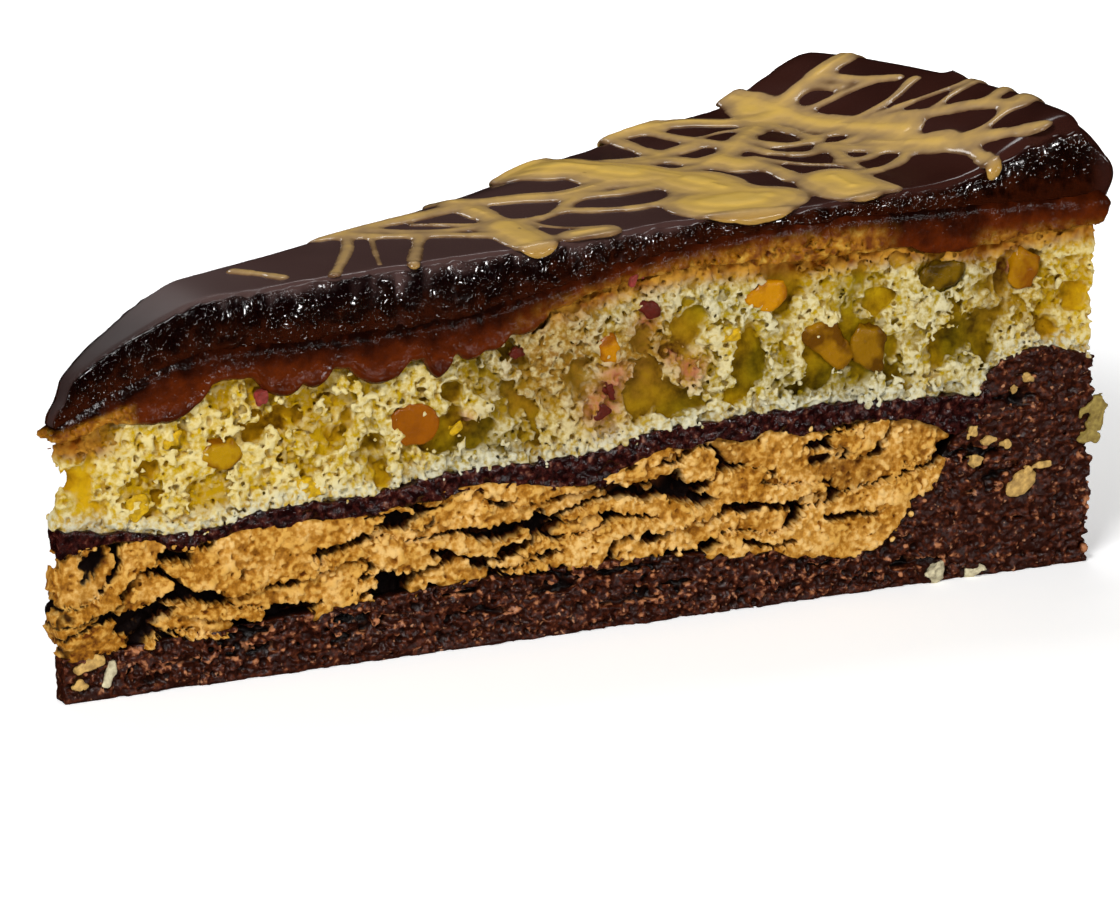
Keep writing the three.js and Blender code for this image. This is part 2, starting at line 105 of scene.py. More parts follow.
# The most triangles of each piece
BASE_MOST = 150000
FILLING_MOST = 170000
SEAM_MOST = 45000
MILK_MOST = 70000
DRIZZLE_MOST = 85000
BITS_MOST = 20000
# The outer walls, as sides: -1 is the near cut face, 0 the rim and 1 the far cut face
NEAR_SIDES = (-1,)
FAR_SIDES = (1,)
OTHER_SIDES = (0, 1)
# The far face has a share of the near face's grains, and grains away from the near face are coarser
FAR_SHARE = 0.3
COARSER = 1.5
NOISE_CELLS = 64
NOISE = np.random.default_rng(5).uniform(-1, 1, (NOISE_CELLS,) * 3).astype(np.float32)


# Numbers: smooth noise, height lines and places in the wedge

def noise(x, y, z, seed=0):
    """Smooth noise between -1 and 1 over cells of one unit."""
    shift = 7.31 * seed
    value = np.zeros(np.broadcast(x, y, z).shape, np.float32)
    corners = []
    for place, offset in ((x, shift), (y, 1.7 * shift), (z, 2.3 * shift)):
        place = np.asarray(place, np.float32) + np.float32(offset)
        cell = np.floor(place)
        part = place - cell
        part = part * part * (3 - 2 * part)
        cell = cell.astype(np.int32)
        corners.append(((cell % NOISE_CELLS, 1 - part), ((cell + 1) % NOISE_CELLS, part)))
    for i, share_x in corners[0]:
        for j, share_y in corners[1]:
            share_xy = share_x * share_y
            for k, share_z in corners[2]:
                value += share_xy * share_z * NOISE[i, j, k]
    return value


def ease(value, start, end):
    """0 before start, 1 after end, smooth between them."""
    share = np.clip((value - start) / (end - start), 0, 1)
    return share * share * (3 - 2 * share)


def mix(first, second, share):
    return first + (second - first) * share


def height_line(stations):
    """The height at any distance from the tip, on a smooth line through the stations."""
    places, heights = np.array(stations, float).T
    slopes = np.gradient(heights, places)

    def height(distance):
        distance = np.clip(distance, places[0], places[-1])
        i = np.clip(np.searchsorted(places, distance, side="right") - 1, 0, len(places) - 2)
        width = places[i + 1] - places[i]
        t = (distance - places[i]) / width
        start = (1 + 2 * t) * (1 - t) ** 2 * heights[i] + t * (1 - t) ** 2 * width * slopes[i]
        end = t ** 2 * (3 - 2 * t) * heights[i + 1] + t ** 2 * (t - 1) * width * slopes[i + 1]
        return (start + end).astype(np.float32)

    return height


base_top = height_line(BASE_TOP)
filling_top = height_line(FILLING_TOP)
seam_top = height_line(SEAM_TOP)
sponge_top = height_line(SPONGE_TOP)
milk_top = height_line(MILK_TOP)
glaze_top = height_line(GLAZE_TOP)


def glaze_edge_drop(distance):
    return np.interp(distance, *zip(*GLAZE_EDGE_DROP))


def footprint(along, across):
    """Plan place from the share along the slice, 0 to 1, and the share across it, -1 to 1."""
    rim_y = across * RIM_HALF_WIDTH
    rim_x = np.sqrt(CAKE_RADIUS ** 2 - np.clip(rim_y, -RIM_HALF_WIDTH, RIM_HALF_WIDTH) ** 2)
    return mix(TIP_FROM_CENTRE, rim_x, along), mix(across * TIP_HALF_WIDTH, rim_y, along)


# The direction of the far cut face in plan, away from the tip
FACE_LENGTHWISE = CAKE_RADIUS * math.cos(FACE_HALF_ANGLE) - TIP_FROM_CENTRE
FACE_RUN = np.array([FACE_LENGTHWISE, RIM_HALF_WIDTH - TIP_HALF_WIDTH])
FACE_RUN = FACE_RUN / np.hypot(*FACE_RUN)


class Spots:
    """Where plan places lie in the wedge: the distance from the tip, the share across, and how far outside
    each wall they are."""

    def __init__(self, x, y):
        along = np.clip(x / CAKE_RADIUS, 0.001, 1.1)
        for _ in range(5):
            half_width = mix(TIP_HALF_WIDTH, RIM_HALF_WIDTH, along)
            across = np.clip(y / half_width, -1.3, 1.3)
            rim_x = np.sqrt(CAKE_RADIUS ** 2 - (np.clip(across, -1, 1) * RIM_HALF_WIDTH) ** 2)
            along = np.clip((x - TIP_FROM_CENTRE) / (rim_x - TIP_FROM_CENTRE), -0.03, 1.1)
        self.distance = (along * CAKE_RADIUS).astype(np.float32)
        self.across = across.astype(np.float32)
        lengthwise = -(x - TIP_FROM_CENTRE) * FACE_RUN[1]
        self.near = (lengthwise - (y + TIP_HALF_WIDTH) * FACE_RUN[0]).astype(np.float32)
        self.far = (lengthwise + (y - TIP_HALF_WIDTH) * FACE_RUN[0]).astype(np.float32)
        self.tip = (TIP_FROM_CENTRE - x + 0 * y).astype(np.float32)
        self.rim = (np.hypot(x, y) - CAKE_RADIUS).astype(np.float32)
        self.outside = np.maximum(np.maximum(self.near, self.far), np.maximum(self.tip, self.rim))
        self.side = np.sign(self.across)

    def at(self, i, j):
        """The distances and sides of some columns of voxels."""
        return SimpleNamespace(distance=self.distance[i, j, 0], side=self.side[i, j, 0])


def spots_of(points):
    return Spots(points[:, 0], points[:, 1])


def on_face(distance, side, depth):
    """Plan place on a cut face, sunk by a depth."""
    x, y = footprint(distance / CAKE_RADIUS, side)
    return x + depth * FACE_RUN[1], y - side * depth * FACE_RUN[0]


# Blocks of voxels, from which the broken layers are meshed

NEAR_RUN = (FACE_RUN[0], -FACE_RUN[1])
NEAR_CORNER = (TIP_FROM_CENTRE, -TIP_HALF_WIDTH)


class Block:
    """Voxels round one layer, in rows along a run in plan. The field is the distance outside the layer's
    surface, below zero within it."""

    def __init__(self, low, high, voxel, corner=(0.0, 0.0), run=(1.0, 0.0)):
        self.low = np.array(low, np.float32)
        self.voxel = voxel
        self.corner = np.array(corner)
        self.axes = np.array([run, (-run[1], run[0])])
        along, aside, up = (np.arange(a, b, voxel, dtype=np.float32) for a, b in zip(low, high))
        self.along = along[:, None, None]
        self.aside = aside[None, :, None]
        self.z = up[None, None, :]
        self.x = (corner[0] + self.along * run[0] - self.aside * run[1]).astype(np.float32)
        self.y = (corner[1] + self.along * run[1] + self.aside * run[0]).astype(np.float32)
        self.spots = Spots(self.x, self.y)
        # How far places lie past a plane that parts the block from the rest of its layer
        self.split = np.float32(-10)
        self.shape = (len(along), len(aside), len(up))

    def layer(self, walls, floor, roof, relief, reach=3.2):
        """Fill the field with a layer between floor and roof, whose outer wall the relief moves in."""
        inside = np.maximum(floor - self.z, self.z - roof)
        wall = np.broadcast_to(walls, self.shape).copy()
        picked = (np.abs(self.spots.outside) < reach) & (inside < 1.0)
        i, j, k = np.nonzero(picked)
        wall[picked] += relief(self.x[i, j, 0], self.y[i, j, 0], self.z[0, 0, k], self.spots.at(i, j))[0]
        self.field = np.maximum(np.maximum(wall, inside), self.split)

    def balls(self, centres, radii, add):
        """Add small balls to the layer, or carve them out of it."""
        if not len(centres):
            return
        plan = (centres[:, :2] - self.corner) @ self.axes.T
        for centre, radius in zip(np.column_stack([plan, centres[:, 2]]), radii):
            first = np.floor((centre - radius - self.low) / self.voxel).astype(int) - 1
            last = np.ceil((centre + radius - self.low) / self.voxel).astype(int) + 2
            i, j, k = (slice(max(a, 0), max(b, 0)) for a, b in zip(first, last))
            away = np.sqrt((self.along[i] - centre[0]) ** 2 + (self.aside[:, j] - centre[1]) ** 2
                           + (self.z[:, :, k] - centre[2]) ** 2) - radius
            part = self.field[i, j, k]
            self.field[i, j, k] = np.minimum(part, away) if add else np.maximum(part, -away)

    def surface(self, merge=FLAT_MERGE):
        """The layer's surface as points in the cake's frame, quads and triangles."""
        grid = openvdb.FloatGrid(background=3.0)
        grid.copyFromArray(np.clip(self.field, -1.2, 1.2))
        points, triangles, quads = grid.convertToPolygons(0.0, merge)
        points = points * self.voxel + self.low
        plan = points[:, :2] @ self.axes + self.corner
        return np.column_stack([plan, points[:, 2]]), quads, triangles


def layer_blocks(low, high):
    """A fine slab along the near cut face and a coarser block of the rest, between two heights."""
    slab = Block((-2.4, -1.6, low), (CAKE_RADIUS + 1.6, SLAB_DEPTH + 1, high), FACE_VOXEL, NEAR_CORNER,
                 NEAR_RUN)
    slab.split = -SLAB_DEPTH - SLAB_LAP - slab.spots.near
    rest = Block((-2.4, -31, low), (CAKE_RADIUS + 2.4, 31, high), BODY_VOXEL)
    rest.split = rest.spots.near + SLAB_DEPTH
    return slab, rest


def scatter(rng, count, side, floor, roof, end=CAKE_RADIUS):
    """Places on a cut face, or on the rim where side is 0, and the way in from there."""
    if side:
        distance = end * rng.uniform(0, 1, count)
        x, y = footprint(distance / CAKE_RADIUS, side)
        inward = np.broadcast_to([FACE_RUN[1], -side * FACE_RUN[0], 0], (count, 3))
    else:
        distance = np.full(count, CAKE_RADIUS)
        angle = rng.uniform(-FACE_HALF_ANGLE, FACE_HALF_ANGLE, count)
        x, y = CAKE_RADIUS * np.cos(angle), CAKE_RADIUS * np.sin(angle)
        inward = np.column_stack([-np.cos(angle), -np.sin(angle), 0 * angle])
    z = mix(floor(distance), roof(distance), rng.uniform(0, 1, count))
    return np.column_stack([x, y, z]).astype(np.float32), inward


def grains(rng, kind, block, sides, floor, roof, relief, end=CAKE_RADIUS):
    """Add grains to the outer walls of a layer, or carve pores there, following the wall's relief."""
    for side in sides:
        count = kind["face"] if side else kind["rim"]
        share = FAR_SHARE if side > 0 else 1
        places, inward = scatter(rng, int(count * share), side, floor, roof, end)
        spots = spots_of(places)
        moved, opened = relief(*places.T, spots)
        radii = mix(kind["smallest"], kind["largest"], rng.uniform(0, 1, len(places)) ** 2)
        if side >= 0:
            radii = radii * COARSER
        centres = places + inward * (moved + kind["sunk"] * radii)[:, None]
        keep = opened < 0.5
        block.balls(centres[keep], radii[keep], kind["add"])


def gather(name, surfaces, most=None):
    """One mesh object from several surfaces, thinned to a number of triangles, and its points."""
    points, quads, triangles = [], [], []
    count = 0
    for places, fours, threes in surfaces:
        points.append(places)
        quads.append(np.asarray(fours).reshape(-1, 4) + count)
        triangles.append(np.asarray(threes).reshape(-1, 3) + count)
        count += len(places)
    piece, points = mesh_object(name, *map(np.concatenate, (points, quads, triangles)))
    return piece, thin_out(piece, most) if most else points


def thin_out(piece, most):
    """Collapse a piece's smallest faces until it has at most this many triangles, and give its points."""
    count = len(piece.data.loops) - 2 * len(piece.data.polygons)
    if count > most:
        modifier = piece.modifiers.new("thin", "DECIMATE")
        modifier.ratio = most / count
        bpy.context.view_layer.objects.active = piece
        bpy.ops.object.modifier_apply(modifier=modifier.name)
    places = np.empty(3 * len(piece.data.vertices), np.float32)
    piece.data.vertices.foreach_get("co", places)
    return places.reshape(-1, 3) / MM + np.array([FRAME_SHIFT, 0, 0], np.float32)


def proud_of(outside, moved):
    """How far grains stand out of a wall's relief, from 0 to 1 for half a millimetre."""
    return np.clip((moved + outside) / 0.5, 0, 1)


def put(name, data):
    """A new object of the scene."""
    thing = bpy.data.objects.new(name, data)
    bpy.context.scene.collection.objects.link(thing)
    return thing


def mesh_object(name, points, quads, triangles=()):
    """A smooth-shaded mesh object from millimetre points in the cake's frame, and those points."""
    points = np.asarray(points, np.float32)
    triangles = np.asarray(triangles, np.int32).reshape(-1, 3)
    quads = np.asarray(quads, np.int32).reshape(-1, 4)
    mesh = bpy.data.meshes.new(name)
    mesh.vertices.add(len(points))
    placed = (points - np.array([FRAME_SHIFT, 0, 0], np.float32)) * MM
    mesh.vertices.foreach_set("co", placed.ravel().astype(np.float32))
    corners = np.concatenate([quads.ravel(), triangles.ravel()])
    sizes = np.concatenate([np.full(len(quads), 4), np.full(len(triangles), 3)])
    mesh.loops.add(len(corners))
    mesh.loops.foreach_set("vertex_index", corners.astype(np.int32))
    mesh.polygons.add(len(sizes))
    mesh.polygons.foreach_set("loop_start", np.concatenate([[0], np.cumsum(sizes)[:-1]]).astype(np.int32))
    mesh.polygons.foreach_set("use_smooth", np.ones(len(sizes), bool))
    mesh.update(calc_edges=True)
    mesh.validate()
    return put(name, mesh), points


def tell(piece, **values):
    """Give each vertex of the piece values that its material reads."""
    for name, value in values.items():
        attribute = piece.data.attributes.new(name, "FLOAT", "POINT")
        attribute.data.foreach_set("value", np.asarray(value, np.float32).ravel())


def dress(piece, look, slot, *nodes):
    """Give a piece its material, and let it ride on the slice in place of its solids. The slot is not used.
    """
    piece.data.materials.append(look.material)
    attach(piece, "root")
    if nodes:
        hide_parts(*nodes)


# Materials

def srgb(red, green, blue):
    """Linear colour of a screen colour given in 0 to 255."""
    share = np.array([red, green, blue]) / 255
    linear = np.where(share <= 0.04045, share / 12.92, ((share + 0.055) / 1.055) ** 2.4)
    return (*linear.tolist(), 1.0)


class Look:
    """A Principled material, with short ways to add the nodes that vary it over the surface."""

    def __init__(self, name, sockets):
        self.material = bpy.data.materials.new(name)
        self.material.use_nodes = True
        self.nodes = self.material.node_tree.nodes
        self.links = self.material.node_tree.links
        self.shader = self.nodes["Principled BSDF"]
        self.place = self.nodes.new("ShaderNodeTexCoord").outputs["Object"]
        for socket, value in sockets.items():
            self.shader.inputs[socket].default_value = value

    def add(self, kind, inputs, **settings):
        node = self.nodes.new("ShaderNode" + kind)
        for name, value in settings.items():
            setattr(node, name, value)
        for socket, value in inputs.items():
            if isinstance(value, bpy.types.NodeSocket):
                self.links.new(value, node.inputs[socket])
            else:
                node.inputs[socket].default_value = value
        return node

    def told(self, name):
        return self.add("Attribute", {}, attribute_name=name).outputs["Fac"]

    def noise(self, size, detail=2.0):
        """Noise between 0 and 1 with lumps of a size in millimetres."""
        scaled = self.add("Mapping", {"Vector": self.place, "Scale": [1 / (size * MM)] * 3})
        grain = self.add("TexNoise", {"Vector": scaled.outputs["Vector"], "Scale": 1.0, "Detail": detail})
        return grain.outputs["Fac"]

    def maths(self, operation, first, second):
        return self.add("Math", {0: first, 1: second}, operation=operation).outputs[0]

    def between(self, share, first, second):
        return self.add("Mix", {0: share, 2: first, 3: second}).outputs[0]

    def fit(self, value, start, end, low=0.0, high=1.0):
        """The value brought from start..end to low..high, and held there."""
        inputs = {"Value": value, "From Min": start, "From Max": end, "To Min": low, "To Max": high}
        return self.add("MapRange", inputs).outputs["Result"]

    def mottled(self, name, size, detail, most, start=0.3, end=0.7):
        """A value that the vertices were told, with noise added, at most so much either way."""
        return self.maths("ADD", self.told(name), self.fit(self.noise(size, detail), start, end, -most, most))

    def ramp(self, factor, *stops):
        """Colours along a factor, as (place, screen colour) stops."""
        node = self.add("ValToRGB", {"Fac": factor})
        elements = node.color_ramp.elements
        while len(elements) < len(stops):
            elements.new(1.0)
        for element, (place, colour) in zip(elements, stops):
            element.position = place
            element.color = srgb(*colour)
        return node.outputs["Color"]

    def blend(self, share, first, second):
        node = self.add("Mix", {0: share, 6: first, 7: second}, data_type="RGBA")
        return node.outputs[2]

    def paint(self, colour):
        self.links.new(colour, self.shader.inputs["Base Color"])

    def shine(self, roughness):
        self.links.new(roughness, self.shader.inputs["Roughness"])

    def bump(self, height, depth, strength=1.0):
        """Fine relief of a depth in millimetres."""
        inputs = {"Height": height, "Distance": depth * MM, "Strength": strength}
        node = self.add("Bump", inputs)
        self.links.new(node.outputs["Normal"], self.shader.inputs["Normal"])


# The sponge: a lace of pale crumb over smooth green cells

CELL_LUMPS = [(4.2, 0.7), (2.0, 0.38), (0.9, 0.14), (0.5, 0.12)]
HOLLOW_LUMPS = [(2.4, 0.7), (1.1, 0.34), (0.5, 0.16)]
PORE_LUMPS = [(0.75, 0.6), (0.42, 0.45)]
CHIP_LUMPS = [(0.95, 0.5), (0.5, 0.4)]
# How readily the crumb opens into cells, as (distance from the tip, value of the noise)
CELL_START = [(0, 0.3), (30, 0.24), (50, 0.14), (112, 0.14), (122, 0.3)]
CELL_DEPTH = 1.3
HOLLOW_DEPTH = 0.75
PORE_DEPTH = 0.5
CHIP_HEIGHT = 0.3
CELL_PUSH = 0.7
SPONGE_GRAIN = [(2.2, 0.2), (0.5, 0.12)]
SPONGE_INSET = 0.4
SPONGE_CRUMBS = {"face": 900, "rim": 300, "smallest": 0.2, "largest": 0.42, "sunk": 0.1, "add": True}
SPONGE_PORES = {"face": 700, "rim": 200, "smallest": 0.22, "largest": 0.5, "sunk": 0.2, "add": False}
FROST_CRUMBS = {"face": 700, "rim": 150, "smallest": 0.2, "largest": 0.45, "sunk": 0.1, "add": True}
FROST_HEIGHT = 1.7
# Large cells of the near face: distance from the tip, height, width, height of the cell
NEAR_CELLS = [(55.1, 29.3, 7, 7), (33.4, 28.8, 5.4, 5), (76.8, 35.9, 6, 5), (83.8, 29.7, 6, 4.6),
              (117.4, 37.6, 2, 6), (70.5, 28.1, 5, 6), (38.6, 21.4, 2.6, 2.6), (19.2, 27, 5, 4.4),
              (107.5, 38.5, 10, 4.6), (96, 31, 11, 6), (101, 36, 6, 4), (47.2, 31.4, 4, 3.6)]
# Reddish stains of the near face: distance from the tip, height, reach, strength
NEAR_STAINS = [(65.6, 27.2, 2.6, 1), (67, 30.4, 2, 1), (76.8, 30.4, 2, 0.9), (74.6, 32.6, 1.6, 0.9),
               (48.5, 27.4, 1.2, 0.8), (118, 38.4, 1.4, 1), (71, 36.6, 1.5, 0.9)]
# Toasted patches of the near face, likewise
NEAR_TOASTS = [(60, 34, 8.5, 0.95), (57, 38.5, 4, 0.8), (70, 33, 6, 0.9), (64, 29.5, 5, 0.75),
               (118, 36, 5, 0.5)]
# Where the sponge is soaked with ganache: from which distances, and at which heights over its top
SOAKED_FROM = (50, 62)
SOAKED_BAND = (-3.4, -0.6)
# The sponge's two pieces: their names, sides and most triangles
SPONGE_PARTS = [("near", NEAR_SIDES, 198000), ("rest", OTHER_SIDES, 100000)]


def sponge_floor(distance):
    return np.maximum(seam_top(distance), base_top(distance)) - 0.25


def lumps(x, y, z, kinds, seed):
    """Noise of several sizes, as (size, depth) pairs."""
    return sum(depth * noise(x / size, y / size, z / size, seed + i) for i, (size, depth) in enumerate(kinds))


def room(distance, least=0.3):
    """How much of its depth a relief keeps, less near the narrow tip."""
    return np.clip(least + distance / 16, least, 1)


def sponge_lace(x, y, z, spots):
    """How far places of the crumb lie in open cells, hollows and small pores, and on raised chips."""
    distance = spots.distance
    at_seam = 1 - ease(z - sponge_floor(distance), 0.5, 3.0)
    cell = lumps(x, y, z, CELL_LUMPS, 1) - np.interp(distance, *zip(*CELL_START)) - 0.3 * at_seam
    for along, up, width, height in NEAR_CELLS:
        away = ((distance - along) / (0.5 * width)) ** 2 + ((z - up) / (0.5 * height)) ** 2
        cell = cell + CELL_PUSH * np.maximum(0, 1 - away) * (spots.side < 0)
    opened = ease(cell, -0.03, 0.07)
    hollow = ease(lumps(x, y, z, HOLLOW_LUMPS, 16), 0.1, 0.22) * (1 - opened)
    pore = ease(lumps(x, y, z, PORE_LUMPS, 10), 0.24, 0.38) * (1 - opened)
    chip = ease(lumps(x, y, z, CHIP_LUMPS, 13), 0.06, 0.2) * (1 - opened) * (1 - pore)
    return opened, hollow, pore, chip


def sponge_relief(x, y, z, spots):
    """How far the crumb's wall is moved in, and how far it opens into a cell."""
    distance = spots.distance
    opened, hollow, pore, chip = sponge_lace(x, y, z, spots)
    depth = CELL_DEPTH + 0.5 * noise(x / 5, y / 5, z / 5, 6)
    grain = lumps(x, y, z, SPONGE_GRAIN, 7)
    torn = 1.4 * ease(-distance, -6, 0) * (0.2 + noise(x / 2.5, y / 2.5, z / 2.5, 8))
    moved = depth * opened + HOLLOW_DEPTH * hollow + PORE_DEPTH * pore - CHIP_HEIGHT * chip + grain
    at_corner = 1 - 0.6 * ease(distance, CAKE_RADIUS - 5, CAKE_RADIUS - 1)
    return SPONGE_INSET + moved * room(distance) * at_corner + torn, opened


def near_patches(patches, spots, z):
    """How strongly places lie in patches of the near face."""
    strongest = np.zeros(len(z))
    for along, up, reach, strength in patches:
        away = np.hypot(spots.distance - along, z - up) / reach
        strongest = np.maximum(strongest, strength * np.exp(-away ** 2) * (spots.side < 0))
    return strongest


def make_sponge():
    """The sponge's near slab and the rest of it, as two pieces."""
    rng = np.random.default_rng(11)
    pieces = []
    for block, (part, sides, most) in zip(layer_blocks(*SPONGE_SPAN), SPONGE_PARTS):
        distance = block.spots.distance
        block.layer(block.spots.outside, sponge_floor(distance), sponge_top(distance) + 0.3, sponge_relief)
        grains(rng, SPONGE_CRUMBS, block, sides, sponge_floor, sponge_top, sponge_relief)
        grains(rng, FROST_CRUMBS, block, sides, lambda s: sponge_floor(s) - 0.3,
               lambda s: sponge_floor(s) + FROST_HEIGHT, sponge_relief)
        grains(rng, SPONGE_PORES, block, sides, sponge_floor, sponge_top, sponge_relief)
        piece, points = gather(f"pistachio_sponge_{part}", [block.surface()], most)
        spots = spots_of(points)
        opened, hollow, pore, chip = sponge_lace(*points.T, spots)
        depth = np.clip(-spots.outside / 2.5, 0, 1)
        z = points[:, 2]
        soaked = ease(z - sponge_top(spots.distance), *SOAKED_BAND) * ease(spots.distance, *SOAKED_FROM)
        golden_tip = ease(-spots.distance, -9, -4) * ease(z, 27.5, 29.5)
        # Chip is higher on raised chips and lower in hollows, and pore marks pores and hollows; the material
        # paints them paler or darker, partly the crumb's own tone, partly painted light and shade.
        tell(piece, depth=depth, distance=spots.distance / CAKE_RADIUS,
             stain=near_patches(NEAR_STAINS, spots, z), toast=near_patches(NEAR_TOASTS, spots, z),
             pore=np.maximum(pore, 0.6 * hollow), chip=np.clip(0.4 + 0.55 * chip - 0.3 * hollow, 0, 1),
             # Cell also takes in every place sunk deep in the wall, so deep places get the cells' darker
             # colours as painted shade.
             cell=np.maximum(opened * ease(depth, 0.2, 0.4), ease(depth, 0.45, 0.65)),
             frost=1 - ease(z - sponge_floor(spots.distance), 0.8, 3.2),
             soak=np.clip(soaked + golden_tip, 0, 1))
        pieces.append(piece)
    return pieces


def sponge_look():
    look = Look("pistachio_sponge", {"Specular IOR Level": 0.04, "Roughness": 0.8})
    place = look.told("distance")
    patches = look.fit(look.noise(9.0), 0.4, 0.6, 0.4, 1.0)
    inner = look.maths("MULTIPLY", look.fit(place, 0.2, 0.38), look.fit(place, 0.98, 0.86))
    green = look.maths("MULTIPLY", inner, patches)
    mottle = look.fit(look.noise(0.7, 3.0), 0.35, 0.65, -0.4, 0.4)
    depth = look.mottled("depth", 1.4, 4.0, 0.22)
    khaki = look.blend(green, srgb(176, 142, 6), srgb(142, 120, 14))
    pale = look.blend(green, srgb(204, 187, 128), srgb(196, 187, 150))
    # Partly the crumb's own khaki and pale tones, partly painted light: raised chips are painted paler and
    # hollows darker.
    crumb = look.blend(look.fit(look.maths("ADD", look.told("chip"), mottle), 0.05, 0.85), khaki, pale)
    # Painted shade: pores and hollows are painted a deeper gold or olive.
    pore_shade = look.blend(green, srgb(148, 108, 5), srgb(100, 80, 4))
    crumb = look.blend(look.fit(look.told("pore"), 0.0, 1.0, 0.0, 0.8), crumb, pore_shade)
    frost = look.maths("MULTIPLY", look.told("frost"), look.fit(mottle, -0.3, 0.3, 0.1, 0.8))
    crumb = look.blend(frost, crumb, srgb(192, 190, 168))
    # The cells' gold and olive are the crumb's own colour, painted darker further in with depth as painted
    # shade.
    golden = look.ramp(depth, (0.3, (180, 140, 10)), (0.6, (150, 108, 4)), (0.95, (84, 52, 1)))
    olive = look.ramp(depth, (0.3, (128, 107, 5)), (0.6, (104, 84, 3)), (0.95, (54, 40, 1)))
    colour = look.blend(look.told("cell"), crumb, look.blend(green, golden, olive))
    toast = look.maths("MULTIPLY", look.told("toast"), look.fit(mottle, -0.3, 0.3, 1.0, 0.45))
    colour = look.blend(toast, colour, srgb(122, 82, 22))
    stained = look.blend(look.told("cell"), srgb(160, 88, 56), srgb(58, 14, 6))
    stain = look.maths("MULTIPLY", look.told("stain"), look.fit(mottle, -0.3, 0.3, 0.35, 1.0))
    colour = look.blend(stain, colour, stained)
    amber = look.ramp(look.noise(2.0), (0.35, (112, 56, 3)), (0.65, (172, 122, 40)))
    look.paint(look.blend(look.told("soak"), colour, amber))
    look.bump(look.noise(0.35, 3.0), 0.1, 0.7)
    return look


# The flaky filling

# Lens-shaped flakes: their length, height and share in the noise whose zero lines are the gaps
FLAKE_LENSES = [(7.5, 2.1, 1.0), (3.0, 1.2, 0.4)]
# Waves of the flakes, as (length, height, size), and their ragged edges, as (cell, size)
FLAKE_WAVES = [(14.0, 8.0, 2.0), (5.0, 4.0, 0.8)]
FLAKE_TEETH = [(1.1, 0.3), (0.6, 0.3)]
FLAKE_STEP = 0.45
TOOTH_WIDTH = 1.0
TOOTH_HEIGHT = 0.5
FLAKE_PORE_DEPTH = 0.35
FLAKE_GRAIN = [(1.3, 0.2), (0.6, 0.18), (0.4, 0.1)]
FLAKE_CRUMBS = {"face": 2200, "rim": 0, "smallest": 0.22, "largest": 0.42, "sunk": 0.2, "add": True}
GAP_DEPTH = 2.5
# The distances from the tip between which the flakes come loose
LOOSE_TIP = (30.0, 4.0)
# The filling's bulge at the tip: how far it juts out, at which height, and how far it spreads up and down
TIP_JUT = {"reach": 1.8, "height": 10, "spread": 3.5}


def flake_relief(x, y, z, spots):
    """How far the filling's wall is moved in, and how far it lies in a gap: lens-shaped flakes with toothed
    edges lie over each other, every other one proud, with dark gaps between them."""
    run = spots.distance
    face = 17 * spots.side
    teeth = sum(size * noise(run / cell, z / cell, face, 24 + i)
                for i, (cell, size) in enumerate(FLAKE_TEETH))
    waves = sum(size * noise(run / length, z / height, face, 20 + i)
                for i, (length, height, size) in enumerate(FLAKE_WAVES))
    along = run + 0.8 * noise(run / 1.7, z / 1.7, face, 27)
    level = z + waves + teeth + TOOTH_HEIGHT * np.abs(np.sin(math.pi * along / TOOTH_WIDTH))
    lens = sum(share * noise((run + 1.5 * teeth) / length, level / height, face, 28 + i)
               for i, (length, height, share) in enumerate(FLAKE_LENSES))
    loose = ease(-run, -LOOSE_TIP[0], -LOOSE_TIP[1])
    low_down = (1 - ease(z - base_top(run), 1.5, 8.0)) * (1 - 0.8 * ease(run, 62, 86))
    dense = ease(z - filling_top(run), -5.0, -1.5) * (1 - loose)
    gap = 0.07 + 0.06 * noise(run / 6, z / 4, face, 30) + 0.04 * loose + 0.03 * low_down - 0.03 * dense
    gap = gap + 0.03 * ease(run, 75, 90)
    under = 1 - ease(np.abs(lens), gap, gap + 0.05)
    cavity = noise((run + 2 * teeth) / 4.5, level / 2.2, face, 36) + 0.22 * low_down + 0.24 * loose
    opened = np.maximum(under, ease(cavity, 0.55, 0.62))
    lifted = FLAKE_STEP * (1 - 2 * ease(lens, -0.2, 0.2)) + 0.4 * noise(run / 8, z / 5, face, 32)
    pore = ease(lumps(x, y, z, PORE_LUMPS, 37), 0.4, 0.52) * (1 - opened)
    half_width = mix(TIP_HALF_WIDTH, RIM_HALF_WIDTH, run / CAKE_RADIUS)
    deepest = np.clip(0.9 * half_width - 1.2, 0.5, GAP_DEPTH)
    moved = lifted + FLAKE_PORE_DEPTH * pore + lumps(x, y, z, FLAKE_GRAIN, 34)
    most = 0.8 * half_width - 0.2 + tip_jut(run, z)
    return np.minimum(deepest * opened + moved * room(run, 0.6) + 0.3, most), opened


def tip_jut(distance, z):
    """How far the filling juts out at the tip."""
    level = (z - TIP_JUT["height"]) / TIP_JUT["spread"]
    return TIP_JUT["reach"] * np.exp(-level ** 2) * ease(-distance, -8, -1)


